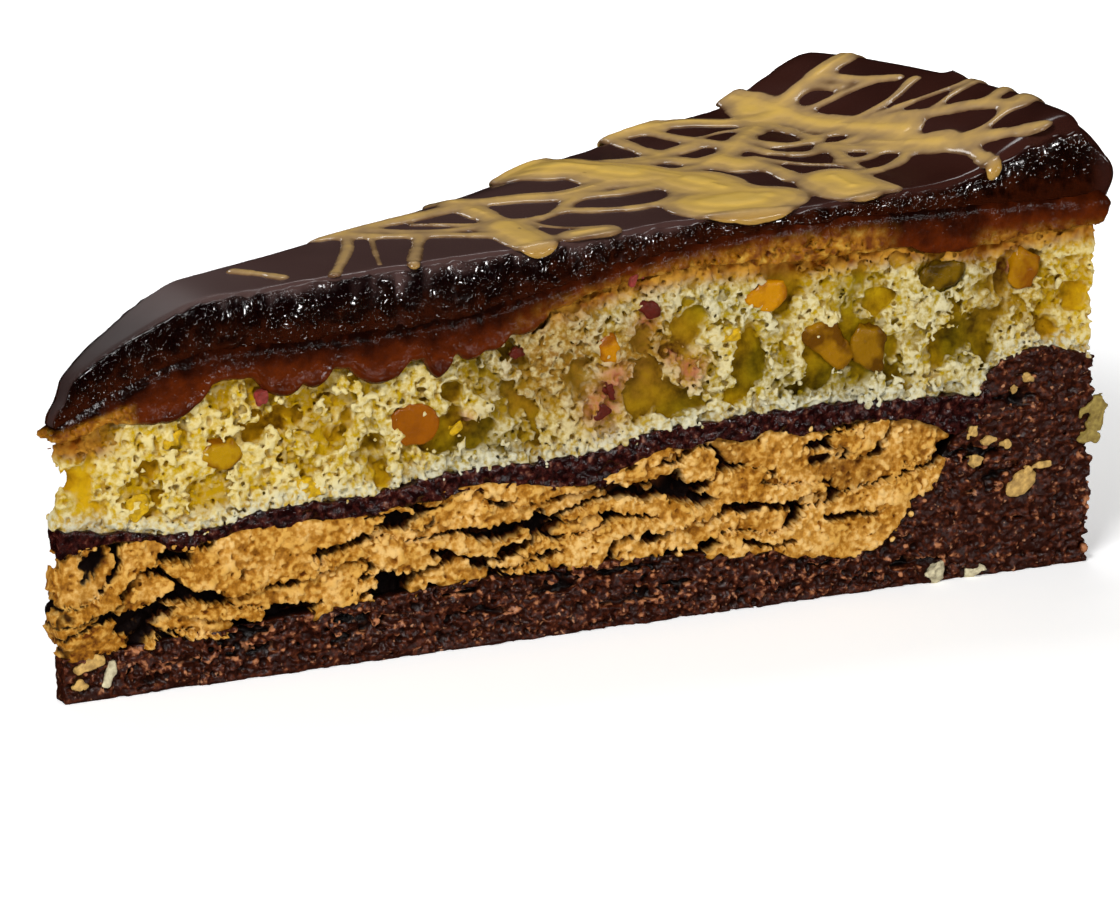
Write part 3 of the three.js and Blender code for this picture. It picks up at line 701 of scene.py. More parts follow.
def make_filling():
    rng = np.random.default_rng(17)
    surfaces = []
    for block, sides in zip(layer_blocks(*FILLING_SPAN), (NEAR_SIDES, FAR_SIDES)):
        distance = block.spots.distance
        side = 9 * block.spots.side
        ragged = 0.9 * noise(distance / 3.4, side, 0, 40) + 0.5 * noise(distance / 1.1, side, 0, 41)
        ragged = ragged * ease(block.spots.outside, -2.6, -0.6)
        end = FILLING_END - 1 + 2.5 * noise(block.z / 2, side, 0, 42)
        end = end + 1.4 * noise(block.z / 0.8, side, 0, 43)
        walls = np.maximum(block.spots.outside, distance - end) - tip_jut(distance, block.z)
        block.layer(walls, base_roof(distance) - 0.7 + ragged, filling_top(distance) + 0.3, flake_relief)
        grains(rng, FLAKE_CRUMBS, block, sides, base_top, filling_top, flake_relief, FILLING_END - 4)
        surfaces.append(block.surface())
    piece, points = gather("kadayif_flakes", surfaces, FILLING_MOST)
    spots = spots_of(points)
    moved, opened = flake_relief(*points.T, spots)
    outside = spots.outside - tip_jut(spots.distance, points[:, 2])
    proud = proud_of(outside, moved)
    pore = ease(lumps(*points.T, PORE_LUMPS, 37), 0.4, 0.52)
    # Painted light and shade: this value is higher on raised grain and proud flakes and lower in recesses and
    # pores, and the material paints it paler or darker.
    grain = 0.5 - lumps(*points.T, FLAKE_GRAIN, 34) - 0.5 * pore
    depth = np.clip(-outside / 3, 0, 1)
    # Gap marks the deep gaps between flakes, which are painted near black: partly the dark chocolate there,
    # partly painted shade.
    tell(piece, depth=depth, grain=np.clip(grain + proud, 0, 1), toasted=1 - ease(spots.distance, 20, 60),
         gap=opened * ease(depth, 0.12, 0.3) * (1 - ease(proud, 0.1, 0.5)))
    return piece


def filling_look():
    look = Look("kadayif", {"Specular IOR Level": 0.06, "Roughness": 0.7})
    # Painted light on raised grain and proud flakes, and painted shade in recesses and pores, with random
    # mottle.
    relief_light_and_mottle = look.mottled("grain", 0.6, 3.0, 0.2, 0.35, 0.65)
    tan = look.ramp(relief_light_and_mottle, (0.1, (128, 76, 14)), (0.5, (184, 132, 52)), (0.85, (216, 176, 108)))
    toasted = look.ramp(relief_light_and_mottle, (0.1, (88, 42, 4)), (0.5, (154, 100, 24)), (0.85, (198, 150, 70)))
    patches = look.maths("ADD", look.noise(4.0), look.fit(look.told("toasted"), 0.0, 1.0, 0.0, 0.12))
    colour = look.blend(look.fit(patches, 0.42, 0.6), tan, toasted)
    shade = look.fit(look.told("depth"), 0.22, 0.7)
    colour = look.blend(shade, colour, srgb(70, 34, 8))
    # The deep gaps between the flakes are painted near black: partly the dark chocolate there, partly painted
    # shade.
    look.paint(look.blend(look.told("gap"), colour, srgb(10, 2, 1)))
    look.bump(look.noise(0.35, 3.0), 0.1, 0.7)
    return look


# The thin dark ganache

SEAM_LUMPS = [(1.5, 0.3), (0.7, 0.26), (0.42, 0.14)]


def seam_relief(x, y, z, spots):
    return lumps(x, y, z, SEAM_LUMPS, 54) * room(spots.distance), 0 * z


def make_seam():
    surfaces = []
    for block in layer_blocks(*SEAM_SPAN):
        distance = block.spots.distance
        side = 9 * block.spots.side
        ripple = 0.45 * noise(distance / 0.9, side, 0, 51)
        upper = seam_top(distance) + 0.5 * noise(distance / 2.2, side, 0, 50) + ripple
        lower = filling_top(distance) - 0.2 + 1.2 * noise(distance / 3.5, side, 0, 52) - ripple
        walls = np.maximum(block.spots.outside, distance - SEAM_END)
        lower = np.minimum(np.minimum(lower, upper - 0.7), filling_top(distance) + 0.1)
        block.layer(walls, lower, upper, seam_relief, 2.5)
        surfaces.append(block.surface())
    return gather("dark_ganache_seam", surfaces, SEAM_MOST)[0]


def seam_look():
    look = Look("dark_ganache", {"Specular IOR Level": 0.3})
    grain = look.noise(0.8, 3.0)
    look.paint(look.ramp(grain, (0.42, (20, 3, 3)), (0.62, (54, 18, 14)), (0.76, (120, 78, 60))))
    look.shine(look.fit(look.noise(0.7), 0.35, 0.65, 0.1, 0.3))
    look.bump(look.noise(0.4, 2.0), 0.12, 1.0)
    return look


# The dark base

BASE_GRAIN = [(2.6, 0.32), (1.1, 0.3), (0.55, 0.22), (0.42, 0.12)]
BASE_CRUMBS = {"face": 2600, "rim": 1500, "smallest": 0.2, "largest": 0.46, "sunk": 0.4, "add": True}
BASE_PITS = {"face": 1100, "rim": 600, "smallest": 0.22, "largest": 0.6, "sunk": 0.1, "add": False}
# Height of the base's lumps, as a share of their width
LAYERING = 0.55
CRACK_DEPTH = 1.1
# How much the base rises under the end of the filling, and between which distances it rises and falls
BASE_RISE = 1.8
BASE_RISES = (88, 103)
BASE_FALLS = (106, 109)


def base_relief(x, y, z, spots):
    """How far the base's crumbly wall is moved in, least at its foot, and how far it lies in a crack. The
    corners at the rim have no cracks."""
    cracked = ease(noise(x / 5, y / 5, z / 1.3, 66) + 0.5 * noise(x / 1.1, y / 1.1, z / 0.7, 67), 0.34, 0.5)
    at_corner = ease(spots.distance, 119, 125) * ease(np.abs(y), 21, 26)
    cracked = cracked * ease(z, 1.5, 3.0) * (1 - at_corner)
    moved = lumps(x, y, z / LAYERING, BASE_GRAIN, 60) + CRACK_DEPTH * cracked + 0.2
    return moved * mix(0.6, 1, ease(z, -0.2, 0.8)) * room(spots.distance), cracked


def base_roof(distance):
    """The base's upper side, raised under the end of the filling."""
    return base_top(distance) + BASE_RISE * ease(distance, *BASE_RISES) * (1 - ease(distance, *BASE_FALLS))


def base_crumb_floor(distance):
    return 0.7 + 0 * distance


def make_base():
    rng = np.random.default_rng(23)
    surfaces = []
    for block, sides in zip(layer_blocks(*BASE_SPAN), (NEAR_SIDES, OTHER_SIDES)):
        distance = block.spots.distance
        block.layer(block.spots.outside, 0, base_roof(distance), base_relief, 2.5)
        grains(rng, BASE_CRUMBS, block, sides, base_crumb_floor, base_top, base_relief)
        grains(rng, BASE_PITS, block, sides, base_crumb_floor, base_top, base_relief)
        surfaces.append(block.surface())
    piece, points = gather("cocoa_base_crumb", surfaces, BASE_MOST)
    spots = spots_of(points)
    moved, _ = base_relief(*points.T, spots)
    # Proud marks crumbs standing out of the wall, which the material paints paler as painted light.
    tell(piece, depth=np.clip(-spots.outside / 2, 0, 1), proud=proud_of(spots.outside, moved))
    return piece


def base_look():
    look = Look("cocoa_base", {"Specular IOR Level": 0.2, "Roughness": 0.35})
    # Painted light: proud crumbs are painted paler, with random mottle.
    relief_light_and_mottle = look.mottled("proud", 0.7, 3.0, 0.4, 0.35, 0.65)
    brown = look.ramp(relief_light_and_mottle, (0.0, (40, 12, 4)), (0.4, (74, 30, 12)), (0.95, (168, 110, 72)))
    specks = look.fit(look.noise(0.8, 2.0), 0.66, 0.74)
    brown = look.blend(specks, brown, srgb(160, 112, 80))
    # Painted shade: places sunk into the wall, in cracks and pits, are painted near black.
    look.paint(look.blend(look.fit(look.told("depth"), 0.2, 0.65), brown, srgb(8, 2, 1)))
    look.bump(look.noise(0.35, 3.0), 0.12, 0.8)
    return look


# The brown ganache with its drips

MILK_PROUD = 0.25
MILK_BEAD = 0.45
MILK_FILM = 1.2
MILK_OVERHANG = 0.8
MILK_CREEP = 1.2
MILK_FOOT = 0.05
MILK_FADE = 1.3
# The apron from which the drips hang: its height, and where it starts and ends along the face
APRON_HEIGHT = 35.6
APRON_START = (10, 13)
APRON_END = (52, 56)
# Where the broad drip near the rim starts and ends along the face
LAST_DRIP_START = (98, 104)
LAST_DRIP_END = (112, 117)
# Where the ganache turns amber
AMBER_START = (52, 66)


def milk_edge(distance, side):
    """The lower edge of the brown ganache on a cut face."""
    plain = sponge_top(distance) + 0.35 * noise(distance / 2.0, 9 * side, 0, 70)
    along = distance - np.where(side > 0, FAR_DRIP_SHIFT, 0)
    apron = mix(plain, APRON_HEIGHT, ease(along, *APRON_START) * (1 - ease(along, *APRON_END)))
    lowest = np.minimum(plain, apron)
    for place, half_width, height in DRIPS:
        off = np.abs(along - place) / half_width
        lowest = np.minimum(lowest, np.where(off < 1, mix(height, plain, off ** 2.2), plain))
    return lowest + 0.2 * noise(distance / 0.8, 9 * side, 0, 71)


def last_drip(distance):
    return ease(distance, *LAST_DRIP_START) * (1 - ease(distance, *LAST_DRIP_END))


def amber_share(distance, z):
    """How far the brown ganache has soaked into the crumb and turned amber: past the middle, but not in the
    last drip, and low on the tip."""
    below = milk_top(distance) - z - 1.8 * ease(distance, 104, 114)
    soaked = ease(distance, *AMBER_START) * (1 - last_drip(distance)) * ease(below, 0.6, 3.0)
    at_tip = ease(31.9 + 0.27 * distance - z, -0.4, 0.4) * (1 - ease(distance, 8, 9.5))
    return np.maximum(soaked, at_tip)


def milk_relief(x, y, z, spots):
    """How far the ganache's wall is moved in: smooth and streaked, or crumbly where it is amber."""
    streaks = noise(spots.distance / 0.9, 9 * spots.side, z / 6, 72)
    crumbly = 0.8 * ease(lumps(x, y, z, PORE_LUMPS, 10), 0.1, 0.4)
    crumbly = crumbly - 0.4 * ease(lumps(x, y, z, CHIP_LUMPS, 13), 0, 0.3)
    crumbly = crumbly + 0.3 * noise(x / 2.2, y / 2.2, z / 2.2, 74)
    smooth = 0.16 * noise(x / 2.4, y / 2.4, z / 2.4, 73) + 0.12 * streaks
    return mix(smooth, crumbly, amber_share(spots.distance, z)), 0 * z


def make_milk():
    block = Block((-1.5, -31, 28), (132.5, 31, 49), MILK_VOXEL)
    spots = block.spots
    edge = milk_edge(spots.distance, spots.side)
    at_face = ease(np.maximum(spots.near, spots.far), -MILK_FILM, -MILK_FILM + 0.3)
    floor = mix(sponge_top(spots.distance) - 0.3, np.minimum(edge, sponge_top(spots.distance)), at_face)
    top = milk_top(spots.distance)
    roof = top + mix(0.3, MILK_CREEP, at_face)
    above = block.z - floor
    dripping = 1 - ease(spots.distance, 56, 62)
    swell = MILK_PROUD * ease(above, 0, 0.5) + MILK_BEAD * dripping * np.exp(-((above - 0.7) / 0.6) ** 2)
    over_top = block.z - top
    swell = swell + mix(MILK_FOOT, -MILK_FADE, ease(over_top, -1.0, MILK_CREEP)) * ease(over_top, -3.0, -1.0)
    swell = swell + MILK_OVERHANG * ease(spots.rim, -4, 0) * ease(block.z, 42, 46)
    block.layer(spots.outside - swell, floor, roof, milk_relief, 2.5)
    piece, points = gather("milk_ganache_drips", [block.surface()], MILK_MOST)
    spots = spots_of(points)
    below = milk_top(spots.distance) - points[:, 2]
    below = below / 6 + 0.25 * ease(spots.distance, 50, 64) - 0.3 * last_drip(spots.distance)
    tell(piece, amber=amber_share(spots.distance, points[:, 2]), below=np.clip(below, 0, 1))
    return piece


def milk_look():
    look = Look("milk_ganache", {"Specular IOR Level": 0.14})
    place = look.mottled("below", 2.2, 3.0, 0.22)
    brown = look.ramp(place, (0.0, (16, 3, 1)), (0.35, (52, 16, 3)), (0.7, (80, 29, 4)),
                      (1.0, (56, 17, 3)))
    amber = look.ramp(look.noise(1.2, 3.0), (0.35, (100, 48, 2)), (0.55, (148, 94, 8)),
                      (0.75, (184, 142, 54)))
    look.paint(look.blend(look.told("amber"), brown, amber))
    wet = look.fit(look.noise(0.6), 0.3, 0.7, 0.08, 0.24)
    look.shine(look.between(look.told("amber"), wet, 0.45))
    look.bump(look.noise(0.6, 2.0), 0.16, 1.0)
    return look


# The glaze: a box of fine quads laid on the wedge

GLAZE_COLUMNS = 280
GLAZE_LANES = 44
GLAZE_ROWS = 20
GLAZE_CROWN = 0.6
GLAZE_NEAR_LEAN = 1.0
GLAZE_CROWN_FROM = 95.0
GLAZE_OVERHANG = 1.3
GLAZE_SHOULDER = 2.6
GLAZE_TIP_SLOPE = 1.2
GLAZE_SLUMP = 1.3
GLAZE_FOOT = 0.2
GLAZE_LIP = 0.35
# Where the cut side grows calm towards the rim, and how much
GLAZE_CALMS = (104, 118)
GLAZE_CALM = 0.75
GLAZE_PEAK = {"distance": 128.5, "across": -0.03, "height": 1.5, "spread": 1.3}


def glaze_roof(distance, across):
    """The glaze's upper side, fuller at the rim and most so on the near side, with soft unevenness."""
    across = np.clip(across, -1, 1)
    at_rim = ease(distance, GLAZE_CROWN_FROM, CAKE_RADIUS)
    crown = at_rim * (GLAZE_CROWN * (1 - across ** 2) - GLAZE_NEAR_LEAN * across)
    y = across * distance * RIM_HALF_WIDTH / CAKE_RADIUS
    slump = GLAZE_SLUMP * ease(across, 0.6, 1) * ease(distance, 18, 32) * (1 - ease(distance, 70, 95))
    peak_y = GLAZE_PEAK["across"] * RIM_HALF_WIDTH
    from_peak = np.hypot(distance - GLAZE_PEAK["distance"], y - peak_y) / GLAZE_PEAK["spread"]
    uneven = 0.16 * noise(distance / 11, y / 11, 0, 80) + 0.05 * noise(distance / 3.5, y / 3.5, 0, 81)
    return glaze_top(distance) + crown - slump + uneven + GLAZE_PEAK["height"] * np.exp(-from_peak ** 2)


def glaze_place(along, across, up):
    """A point of the glaze from its shares along, across and up."""
    distance = along * CAKE_RADIUS
    half_width = mix(TIP_HALF_WIDTH, RIM_HALF_WIDTH, along)
    from_face = (1 - np.abs(across)) * half_width
    side = np.sign(across)
    ragged = 0.75 + 0.25 * noise(distance / 1.3, 9 * side, 0, 82)
    edge_width = mix(0.7, 2.0, ease(distance, 112, 124))
    edge = glaze_edge_drop(distance) * ragged * np.exp(-(from_face / edge_width) ** 2)
    roof = glaze_roof(distance, across) - edge
    lip = noise(distance / 1.5, 9 * side, 0, 87) + 0.5 * noise(distance / 0.7, 9 * side, 0, 88)
    roof = roof - GLAZE_LIP * np.abs(lip) * np.exp(-(from_face / 0.9) ** 2) * ease(distance, 6, 16)
    floor = milk_top(distance) - 0.2 * np.ones_like(across)
    z = mix(floor, roof, up)
    lumpy = 0.3 * noise(distance / 3.2, 9 * side, z / 3, 83)
    lumpy = lumpy + 0.22 * noise(distance / 1.1, 9 * side, z / 1.3, 84)
    lumpy = lumpy * (1 - GLAZE_CALM * ease(distance, *GLAZE_CALMS))
    streaks = 0.16 * noise(distance / 0.7, 9 * side, z / 9, 85) - GLAZE_FOOT * (1 - ease(z - floor, 0, 2.2))
    outward = (lumpy + streaks - 0.6 * up ** 3) * np.exp(-(from_face / 1.2) ** 2)
    outward = outward * np.minimum(1, half_width / 8)
    x, y = footprint(along, across)
    x = x - outward * FACE_RUN[1]
    y = y + side * outward * FACE_RUN[0]
    at_tip = np.exp(-(distance / 1.5) ** 2)
    at_rim = np.exp(-((CAKE_RADIUS - distance) / 2.0) ** 2)
    swell = mix(MILK_OVERHANG, GLAZE_OVERHANG, np.sin(math.pi * up)) - GLAZE_SHOULDER * up ** 4
    swell = swell + 0.4 * noise(across * 5, z / 4, 0, 86)
    x = x + GLAZE_TIP_SLOPE * up ** 2 * at_tip
    radial = swell * at_rim / np.maximum(np.hypot(x, y), 1)
    return np.stack([x * (1 + radial), y * (1 + radial), z], -1)


def make_glaze():
    along = np.linspace(0, 1, GLAZE_COLUMNS + 1)
    lane = np.linspace(-1, 1, GLAZE_LANES + 1)
    across = np.sign(lane) * (1 - (1 - np.abs(lane)) ** 1.6)
    up = np.linspace(0, 1, GLAZE_ROWS + 1)
    sheets = []
    for level in (0, 1):
        sheets.append((glaze_place(*np.broadcast_arrays(along[:, None], across, level)), level == 1))
    for side in (-1, 1):
        sheets.append((glaze_place(*np.broadcast_arrays(along[:, None], side, up)), side == -1))
    for end in (0, 1):
        sheets.append((glaze_place(*np.broadcast_arrays(end, across[:, None], up)), end == 1))
    points = []
    quads = []
    count = 0
    for sheet, facing in sheets:
        rows, columns = sheet.shape[:2]
        index = count + np.arange(rows * columns).reshape(rows, columns)
        corners = np.stack([index[:-1, :-1], index[1:, :-1], index[1:, 1:], index[:-1, 1:]], -1)
        corners = corners.reshape(-1, 4)
        quads.append(corners if facing else corners[:, ::-1])
        points.append(sheet.reshape(-1, 3))
        count += rows * columns
    points = np.concatenate(points)
    welded, index = np.unique(np.round(points, 3), axis=0, return_inverse=True)
    piece, points = mesh_object("chocolate_glaze_skin", welded, index.ravel()[np.concatenate(quads)])
    spots = spots_of(points)
    above = points[:, 2] - milk_top(spots.distance)
    above = np.clip(above / 6, 0, 1) * (1 - 0.5 * ease(spots.distance, 112, 126))
    side = ease(np.maximum(spots.near, spots.far), -0.9, -0.3) * (1 - 0.7 * ease(spots.rim, -2, 0.5))
    cut = np.maximum(side, 0.6 * (1 - ease(spots.distance, 8, 18)))
    beads = side * (1 - 0.85 * ease(spots.distance, 102, 118))
    dull = (1 - side) * (1 - ease(spots.distance, 14, 34))
    # Painted sheen: the last value below makes the top's colour paler grey-brown towards the tip, in place of
    # a soft reflection.
    tell(piece, side=side, cut=cut, beads=beads, above=above, dull=dull,
         veil=mix(1.3, 0, ease(spots.distance, 50, 112)))
    return piece


def glaze_look():
    look = Look("dark_glaze", {"Specular IOR Level": 0.5})
    top = look.ramp(look.noise(14.0), (0.35, (44, 20, 15)), (0.65, (56, 28, 22)))
    # Painted sheen: a paler grey-brown is blended into the top colour, most towards the tip, in place of a
    # soft reflection.
    top = look.blend(look.fit(look.told("veil"), 0.0, 1.3), top, srgb(74, 54, 51))
    place = look.mottled("above", 1.6, 3.0, 0.3)
    cut = look.ramp(place, (0.05, (40, 12, 3)), (0.4, (15, 3, 1)), (0.8, (8, 1, 1)))
    look.paint(look.blend(look.told("cut"), top, cut))
    smooth = look.fit(look.noise(9.0), 0.3, 0.7, 0.14, 0.2)
    wet = look.fit(look.noise(0.7), 0.3, 0.7, 0.05, 0.12)
    rough = look.between(look.told("side"), smooth, wet)
    look.shine(look.maths("ADD", rough, look.fit(look.told("dull"), 0.0, 1.0, 0.0, 0.36)))
    beads = look.fit(look.noise(0.5, 1.0), 0.52, 0.74)
    look.bump(look.maths("MULTIPLY", look.told("beads"), beads), 0.2, 1.0)
    return look


# The drizzled cream, as (width, points) of its strands, a point being a plan place

DRIZZLE = [
    (1.8, [(25.5, 2.2), (27, -0.5), (28.2, -3.6)]),
    (1.7, [(42.5, 6), (40, 1.5), (36.5, -3), (33, -7)]),
    (0.8, [(43.8, 2.5), (41.5, -2), (39, -7)]),
    (1.7, [(48.5, -0.5), (45.5, -4.5), (41.8, -9.6)]),
    (2.9, [(39.5, 6.8), (43, 6.4), (48, 6.7), (53, 6.6), (58, 7)]),
    (2.0, [(42, 5.5), (46, 2), (50, -0.8), (53.5, -4), (56.5, -6.5)]),
    (1.8, [(45.5, 5), (48.5, 2), (52, -0.5), (56, -1.5)]),
    (1.2, [(50.5, 4), (53.5, 1.5), (56, -0.5)]),
    (3.6, [(58.5, 11.5), (59, 6), (58.8, 0), (58, -4)]),
    (6.0, [(58, -3.5), (57.3, -8), (56.8, -11.5)]),
    (4.2, [(62, -12), (65.5, -13)]),
    (0.9, [(61, -3), (62.5, -8), (65, -11)]),
    (2.0, [(61, -3.4), (65, -3.2), (69, -1), (72, 0.5)]),
    (3.6, [(59, 8), (63, 5.8), (66, 4.4), (70, 1.8), (75, 1.8), (80, 3)]),
    (2.6, [(71, 0.5), (75, -2), (81, -2)]),
    (2.0, [(67, -3), (70, -6.5), (74, -8.6), (78, -8.5), (81, -6)]),
    (10.5, [(74.5, 14), (78, 9), (81.5, 3)]),
    (9.5, [(83, 4), (85.5, -2), (86, -8)]),
    (12.0, [(81, -13.2), (88, -13.8)]),
    (2.6, [(89.7, 20), (89.7, 15), (90, 10.5)]),
    (2.5, [(94.6, 21), (95.2, 17), (96.2, 13), (97.5, 9), (98.5, 6.5)]),
    (4.2, [(90, 20.5), (96, 20.6), (101, 19.2), (105, 16.3), (109, 15)]),
    (2.9, [(83, 10.5), (87, 9.8), (92, 10.4), (95.5, 10.5)]),
    (3.2, [(85, 8.5), (89.5, 8), (91.5, 4.5)]),
    (3.4, [(84, 2), (89, 2.6), (94, 3.6), (98, 6), (102, 9), (107, 12.5)]),
    (6.0, [(93.8, 3), (94.6, -0.5)]),
    (3.0, [(96.3, 0), (96.2, -5), (95.8, -9)]),
    (1.2, [(97.5, 1), (100, -5), (103, -9)]),
    (8.2, [(98.4, -13.2), (97.6, -17.8)]),
    (2.4, [(100.8, -16.5), (101.2, -21)]),
    (4.6, [(111.5, 24), (112, 17), (112, 8), (113.5, 0), (114.8, -6)]),
    (6.0, [(110, 18), (111, 21)]),
    (5.5, [(108, 14.8), (111, 14.5)]),
    (3.7, [(112, 16.5), (118, 17), (123, 17.4), (127, 19)]),
    (1.7, [(119.6, 16), (121, 10), (123, 5.5)]),
    (1.6, [(114, 12), (117, 10.5), (121, 8.5)]),
    (1.4, [(117.6, 15.5), (118.8, 11.5)]),
    (1.9, [(115, 3), (119, 1.8), (123.5, 2.8)]),
    (1.3, [(116, 1), (120, -2), (124, -4.5), (128, -4)]),
    (1.4, [(120, -6.2), (125, -6), (128.5, -5)]),
    (2.4, [(115.5, -0.5), (118.8, -7), (121.3, -12), (122.8, -17)]),
    (2.4, [(122, -13), (126, -11.5), (129.5, -9.5)]),
    (3.4, [(123.3, -17.2), (126.5, -16)]),
    (4.4, [(111, -5), (113, -9.5), (114.3, -13)]),
    (3.2, [(114.3, -13), (115, -18)]),
    (2.1, [(114.6, -18), (113.4, -22.5), (112.4, -26.2)]),
    (2.8, [(115.6, -17), (117.8, -22), (119.8, -25.6)]),
    (1.7, [(104, -7.4), (107, -8.4), (110.5, -7.6)]),
    (2.1, [(103, -13.6), (108, -13), (112, -11)]),
    (2.0, [(103.8, -11), (105.4, -6), (107, -1.5)]),
    (1.5, [(116, -16.8), (119, -17.6), (122.5, -17.2)]),
    (2.3, [(101.3, 6.8), (103.4, 2.8), (107, 2)]),
    (1.9, [(99.6, 6), (100.5, 1), (103, -2), (107, -1)]),
    (2.2, [(108, 12), (108.2, 6), (107.6, 2)]),
    (1.7, [(108, 2.8), (111, 2.6), (113, 2)]),
    (2.0, [(107, -1), (110, -1.7), (113, -1)]),
    (2.6, [(107, -1.5), (109, -5), (111.5, -8.5)]),
    (0.9, [(98, 12.5), (101, 12.8), (105, 12.2)]),
]
DRIZZLE_VOXEL = 0.2
STRAND_FILLET = 1.4
STRAND_LIFT = 0.3
STRAND_TALLEST = 0.75
EDGE_CLEARANCE = 0.2
STRAND_ROOT = 0.35
EDGE_ROUND = 1.0


def strand_line(points):
    """Plan points every half millimetre or so on a smooth line through a strand's points."""
    x, y = np.array(points, float).T
    lengths = np.concatenate([[0], np.cumsum(np.hypot(np.diff(x), np.diff(y)))])
    spaced = np.linspace(0, lengths[-1], int(lengths[-1] / 0.5) + 2)
    return np.stack([height_line(list(zip(lengths, line)))(spaced) for line in (x, y)], 1)


def fillet_union(first, second, size):
    share = np.clip(0.5 + 0.5 * (second - first) / size, 0, 1)
    return mix(second, first, share) - size * share * (1 - share)


def drizzle_field(x, y):
    """How far plan places lie outside the drizzle, with fillets where strands meet."""
    field = np.full((x.size, y.size), 3.0, np.float32)
    for number, (width, points) in enumerate(DRIZZLE):
        line = strand_line(points)
        strand = np.full(field.shape, 6.0, np.float32)
        for i, (px, py) in enumerate(line):
            half = 0.5 * width * (1 + 0.16 * NOISE[number, i // 5 % NOISE_CELLS, 0])
            i0, i1 = np.searchsorted(x, [px - half - 3, px + half + 3])
            j0, j1 = np.searchsorted(y, [py - half - 3, py + half + 3])
            away = np.hypot(x[i0:i1, None] - px, y[None, j0:j1] - py) - half
            strand[i0:i1, j0:j1] = np.minimum(strand[i0:i1, j0:j1], away)
        field = fillet_union(field, strand, STRAND_FILLET)
    return field


def lay_on_glaze(points):
    """Points given as plan place and height over the glaze, bent over its cut edges."""
    x, y, height = points.T
    spots = Spots(x, y)
    past = np.maximum(spots.near, spots.far)
    side = np.where(spots.far > spots.near, 1.0, -1.0)
    start = -EDGE_ROUND * math.pi / 4
    height = height + EDGE_CLEARANCE * ease(past, -1.8, -0.4)
    angle = np.clip((past - start) / (EDGE_ROUND * math.pi / 2), 0, 1) * math.pi / 2
    beyond = np.maximum(past + start, 0)
    reach = np.where(past < start, past, start + EDGE_ROUND * np.sin(angle))
    drop = EDGE_ROUND * (1 - np.cos(angle)) + beyond
    outward = reach - past + height * np.sin(angle)
    z = glaze_roof(spots.distance, spots.across) - drop + height * np.cos(angle)
    return np.stack([x - outward * FACE_RUN[1], y + side * outward * FACE_RUN[0], z], 1)


def make_drizzle():
    block = Block((20, -33, -0.6), (131, 33, 2.4), DRIZZLE_VOXEL)
    plan = drizzle_field(block.x[:, 0, 0], block.y[0, :, 0])[:, :, None]
    height = np.maximum(block.z, 0)
    rise = (height / STRAND_LIFT) ** 2 + (height / STRAND_TALLEST) ** 6
    block.field = np.maximum(plan + rise, -STRAND_ROOT - block.z)
    block.field = np.maximum(block.field, block.spots.rim + 1.2)
    points, quads, triangles = block.surface(0.0)
    piece, _ = mesh_object("pistachio_drizzle", lay_on_glaze(points), quads, triangles)
    spots = spots_of(points)
    # The second value marks cream bent over the cut edges, whose side the material paints darker as painted
    # shade.
    tell(piece, thick=np.clip(points[:, 2] / STRAND_TALLEST, 0, 1),
         over_edge=ease(np.maximum(spots.near, spots.far), -0.6, 0.4))
    thin_out(piece, DRIZZLE_MOST)
    return piece


def drizzle_look():
    look = Look("pistachio_cream", {"Specular IOR Level": 0.5, "Roughness": 0.16})
    thick = look.mottled("thick", 3.0, 2.0, 0.1)
    cream = look.ramp(thick, (0.0, (96, 68, 46)), (0.25, (164, 134, 92)), (0.5, (208, 170, 98)),
                      (0.8, (232, 190, 92)), (1.0, (236, 196, 104)))
    # Painted shade: the cream's side over the cut edge is painted a darker khaki.
    look.paint(look.blend(look.told("over_edge"), cream, srgb(158, 122, 58)))
    look.bump(look.noise(1.2), 0.05, 0.4)
    return look


# Nut pieces: distance from the tip, height, length, width, turn in the face, greenness

NEAR_NUTS = [(19.4, 27.3, 4.6, 4.2, 20, 0.3), (42.3, 27.9, 6.4, 5, -20, 0.1), (66.3, 34, 4, 2.6, 80, 0.02),
             (86.2, 38.2, 4.6, 4.2, 0, 0.0), (94.3, 31.9, 7, 5, -48, 0.7), (99.6, 30.7, 6.2, 4.2, -70, 0.8),
             (109.5, 38.6, 7.4, 3.8, 6, 1.0), (120.1, 38.2, 5.4, 3.8, 70, 0.2)]
FAR_NUT_COUNT = 6
NUT_DEPTH = 3.6
NUT_PROUD = -0.15
NUT_ROUGH = 0.17
LUMP_SET = 1.2
# Flat chops of each nut piece or bit: how many, and how far from its middle, as shares of its size
CHOPS = 4
CHOP_AT = (0.34, 0.46)
FIRST_NUT_SEED = 90
# Size of a far nut, as a share of its solid's box
FAR_NUT_SHARE = 0.95


def nut_places():
    """Every nut piece as its place, size, turn, side and greenness. Those of the far face follow their
    solids."""
    nuts = [(along, up, length, width, math.radians(turn), -1, green)
            for along, up, length, width, turn, green in NEAR_NUTS]
    for i in range(FAR_NUT_COUNT):
        low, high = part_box(f"nut_far_{i + 1}")
        middle = (low + high) / 2 / MM
        size = (high - low) / MM
        along = float(Spots(np.array([middle.x + FRAME_SHIFT]), np.array([middle.y])).distance[0])
        length = FAR_NUT_SHARE * max(size.x, size.z)
        width = FAR_NUT_SHARE * min(size.x, size.z)
        turn = 0.0 if size.x > size.z else math.pi / 2
        nuts.append((along, middle.z, length, width, turn, 1, i / FAR_NUT_COUNT))
    return nuts


